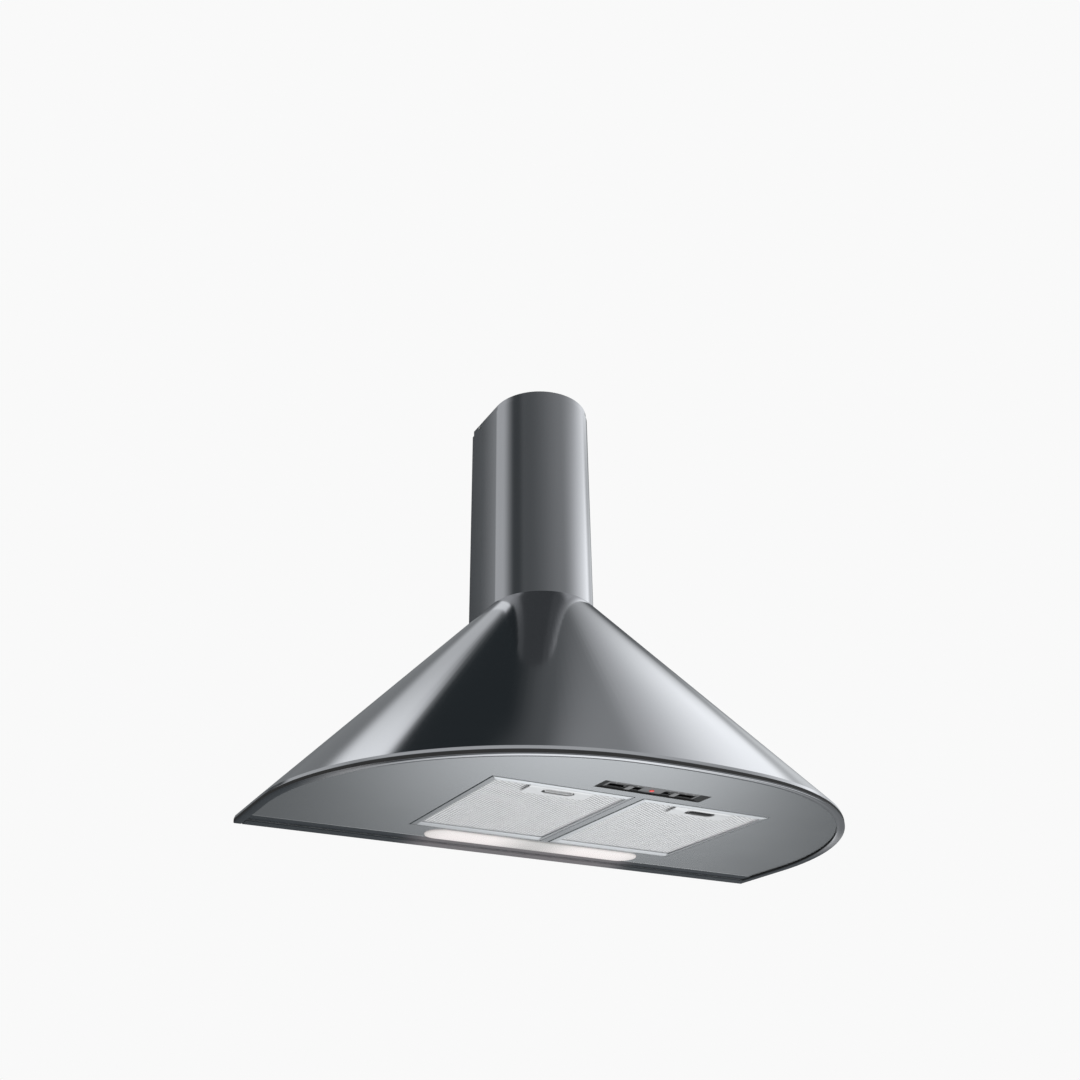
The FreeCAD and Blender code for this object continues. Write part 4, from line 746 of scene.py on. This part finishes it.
# pale floor, seen through from below
stageSet = {"floor": -1.15, "floorSize": 9.0, "floorDark": grey(0.90), "floorLight": grey(0.93), "cloud": 3.0,
            "white": grey(0.948), "sky": grey(0.62)}
bm = bmesh.new()
bmesh.ops.create_grid(bm, x_segments=1, y_segments=1, size=stageSet["floorSize"])
bmesh.ops.translate(bm, vec=(0, 0, stageSet["floor"]), verts=bm.verts)
mesh = bpy.data.meshes.new("studioFloor")
bm.to_mesh(mesh)
bm.free()
floor = bpy.data.objects.new("studioFloor", mesh)
scene.collection.objects.link(floor)
floorMaterial = bpy.data.materials.new("paleFloor")
floorMaterial.use_nodes = True
tree = floorMaterial.node_tree
tree.nodes.clear()
start = Flow(tree, tree.nodes.new("ShaderNodeTexCoord").outputs["Object"])
floorShade = start.noise(stageSet["cloud"]).tint(stageSet["floorDark"], stageSet["floorLight"])
matte = start.node("ShaderNodeBsdfDiffuse", None, {"Color": floorShade})
clear = start.node("ShaderNodeBsdfTransparent")
under = start.node("ShaderNodeNewGeometry", None, None, "Backfacing")
mixed = start.node("ShaderNodeMixShader", None, {0: under, 1: matte, 2: clear})
tree.links.new(mixed.socket, tree.nodes.new("ShaderNodeOutputMaterial").inputs[0])
mesh.materials.append(floorMaterial)
floor.visible_glossy = False

# light tent with grey flags, seen only in reflections: azimuth from +X towards the wall, soft widths at
# the four edges in the order from, to, low, high
tent = {"radius": 40.0, "base": 0.11, "range": 2.0,
        "dim": (0.0, 0.005, 0.008, 1), "bright": (1.94, 2.0, 2.05, 1),
        "hidden": ("camera", "diffuse", "shadow", "transmission", "volume_scatter"), "flags": [
    {"from": -180, "to": 180, "low": -95, "high": -5, "soft": (1, 1, 2, 10), "tone": 0.20},
    {"from": 262, "to": 345, "low": -30, "high": 55, "soft": (100, 40, 10, 16), "tone": 0.28},
    {"from": 176, "to": 198, "low": -5, "high": 42, "soft": (16, 16, 10, 6), "tone": 0.065},
    {"from": 104, "to": 120, "low": 15, "high": 38, "soft": (8, 6, 5, 4), "tone": 0.06},
    {"from": 118.5, "to": 162, "low": 18, "high": 60, "soft": (7, 34, 8, 20), "tone": 0.53},
    {"from": 54, "to": 104, "low": 5, "high": 30, "soft": (14, 10, 8, 5), "tone": 0.2},
    {"from": 4, "to": 44, "low": 12, "high": 32, "soft": (20, 14, 8, 8), "tone": 0.70},
    {"from": 60, "to": 112, "low": 28, "high": 42, "soft": (10, 6, 4, 6), "tone": 0.23},
    {"from": -25, "to": 12, "low": 8, "high": 36, "soft": (90, 16, 10, 24), "tone": 1.45},
    {"from": -20, "to": 32, "low": 40, "high": 84, "soft": (60, 24, 20, 10), "tone": 0.30},
    {"from": 160, "to": 345, "low": 41, "high": 58, "soft": (30, 20, 6, 6), "tone": 0.52},
    {"from": -8, "to": 37, "low": 34, "high": 54, "soft": (60, 20, 10, 20), "tone": 1.28},
    {"from": 66, "to": 120, "low": 43, "high": 55.8, "soft": (10, 20, 8, 6), "tone": 0.58},
    {"from": 94, "to": 112, "low": 45, "high": 58.4, "soft": (18, 14, 7, 4), "tone": 1.08},
    {"from": 58, "to": 125, "low": 59.5, "high": 78, "soft": (30, 16, 4, 5), "tone": 0.025},
    {"from": 170, "to": 290, "low": 61, "high": 95, "soft": (20, 20, 6, 2), "tone": 0.08},
    {"from": 92, "to": 190, "low": -80, "high": -8, "soft": (16, 20, 10, 6), "tone": 0.04},
    {"from": 49, "to": 67, "low": -70, "high": -15.8, "soft": (12, 18, 10, 4), "tone": 1.25},
    {"from": 20, "to": 58, "low": -65, "high": -27, "soft": (20, 8, 10, 8), "tone": 1.20},
]}
bm = bmesh.new()
bmesh.ops.create_uvsphere(bm, u_segments=48, v_segments=24, radius=tent["radius"])
mesh = bpy.data.meshes.new("lightTent")
bm.to_mesh(mesh)
bm.free()
tentObject = bpy.data.objects.new("lightTent", mesh)
scene.collection.objects.link(tentObject)
for ray in tent["hidden"]:
    setattr(tentObject, "visible_" + ray, False)
tentMaterial = bpy.data.materials.new("tentCloth")
tentMaterial.use_nodes = True
tree = tentMaterial.node_tree
tree.nodes.clear()
start = Flow(tree, tree.nodes.new("ShaderNodeTexCoord").outputs["Object"])
spot = start.node("ShaderNodeVectorMath", {"operation": "NORMALIZE"}, {0: start})
azimuth = start.calc("ARCTAN2", spot.axis(1), spot.axis(0))
elevation = start.calc("ARCSINE", spot.axis(2))
tone = tent["base"]
for flag in tent["flags"]:
    soft = [math.radians(width) for width in flag["soft"]]
    half = math.radians(flag["to"] - flag["from"]) / 2
    turned = azimuth - math.radians(flag["from"] + flag["to"]) / 2
    turned = start.calc("ARCTAN2", start.calc("SINE", turned), start.calc("COSINE", turned))
    mask = turned.between(-half, half, soft[0], soft[1])
    mask = mask * elevation.between(math.radians(flag["low"]), math.radians(flag["high"]), soft[2], soft[3])
    tone = tone + mask * (flag["tone"] - tone)
glow = (tone * (1 / tent["range"])).tint(tent["dim"], tent["bright"])
cloth = start.node("ShaderNodeEmission", None, {"Color": glow})
tree.links.new(cloth.socket, tree.nodes.new("ShaderNodeOutputMaterial").inputs[0])
mesh.materials.append(tentMaterial)

# white all round for the camera, softer light on the object
world = bpy.data.worlds.new("studioWorld")
scene.world = world
world.use_nodes = True
tree = world.node_tree
tree.nodes.clear()
rays = tree.nodes.new("ShaderNodeLightPath")
seen = Flow(tree, rays.outputs["Is Camera Ray"])
for kind in ("Is Glossy Ray", "Is Transmission Ray"):
    seen = seen.calc("MAXIMUM", seen, Flow(tree, rays.outputs[kind]))
backdrop = seen.tint(stageSet["sky"], stageSet["white"])
sky = seen.node("ShaderNodeBackground", None, {"Color": backdrop, "Strength": 1.0})
tree.links.new(sky.socket, tree.nodes.new("ShaderNodeOutputWorld").inputs[0])

# two soft lamps
lamps = {"keySoftbox": {"place": (-1.9, -2.2, 1.6), "aim": (0.0, -0.25, 0.2), "size": 1.6, "power": 42.0},
         "floorBounce": {"place": (0.5, -1.3, -1.0), "aim": (0.5, -1.3, 0.2), "size": 1.8, "power": 15.0}}
for name, lamp in lamps.items():
    light = bpy.data.lights.new(name, "AREA")
    light.size = lamp["size"]
    light.energy = lamp["power"]
    lampObject = bpy.data.objects.new(name, light)
    scene.collection.objects.link(lampObject)
    aim = Vector(lamp["aim"]) - Vector(lamp["place"])
    lampObject.location = lamp["place"]
    lampObject.rotation_euler = aim.to_track_quat("-Z", "Y").to_euler()
    lampObject.visible_glossy = False
    lampObject.visible_camera = False

# camera below the front left corner, looking up
lens = {"length": 38.91, "sensor": 36.0, "place": (-0.8741, -1.6454, -0.4358),
        "right": (0.87368, -0.48639, -0.01), "up": (-0.22318, -0.41899, 0.88014),
        "back": (-0.43228, -0.76673, -0.47461)}
cameraData = bpy.data.cameras.new("photoCamera")
cameraData.lens = lens["length"]
cameraData.sensor_width = lens["sensor"]
camera = bpy.data.objects.new("photoCamera", cameraData)
scene.collection.objects.link(camera)
turn = Matrix((lens["right"], lens["up"], lens["back"])).transposed().to_4x4()
camera.matrix_world = Matrix.Translation(lens["place"]) @ turn
scene.camera = camera
print("stage, lamps and camera made")

bpy.context.view_layer.update()
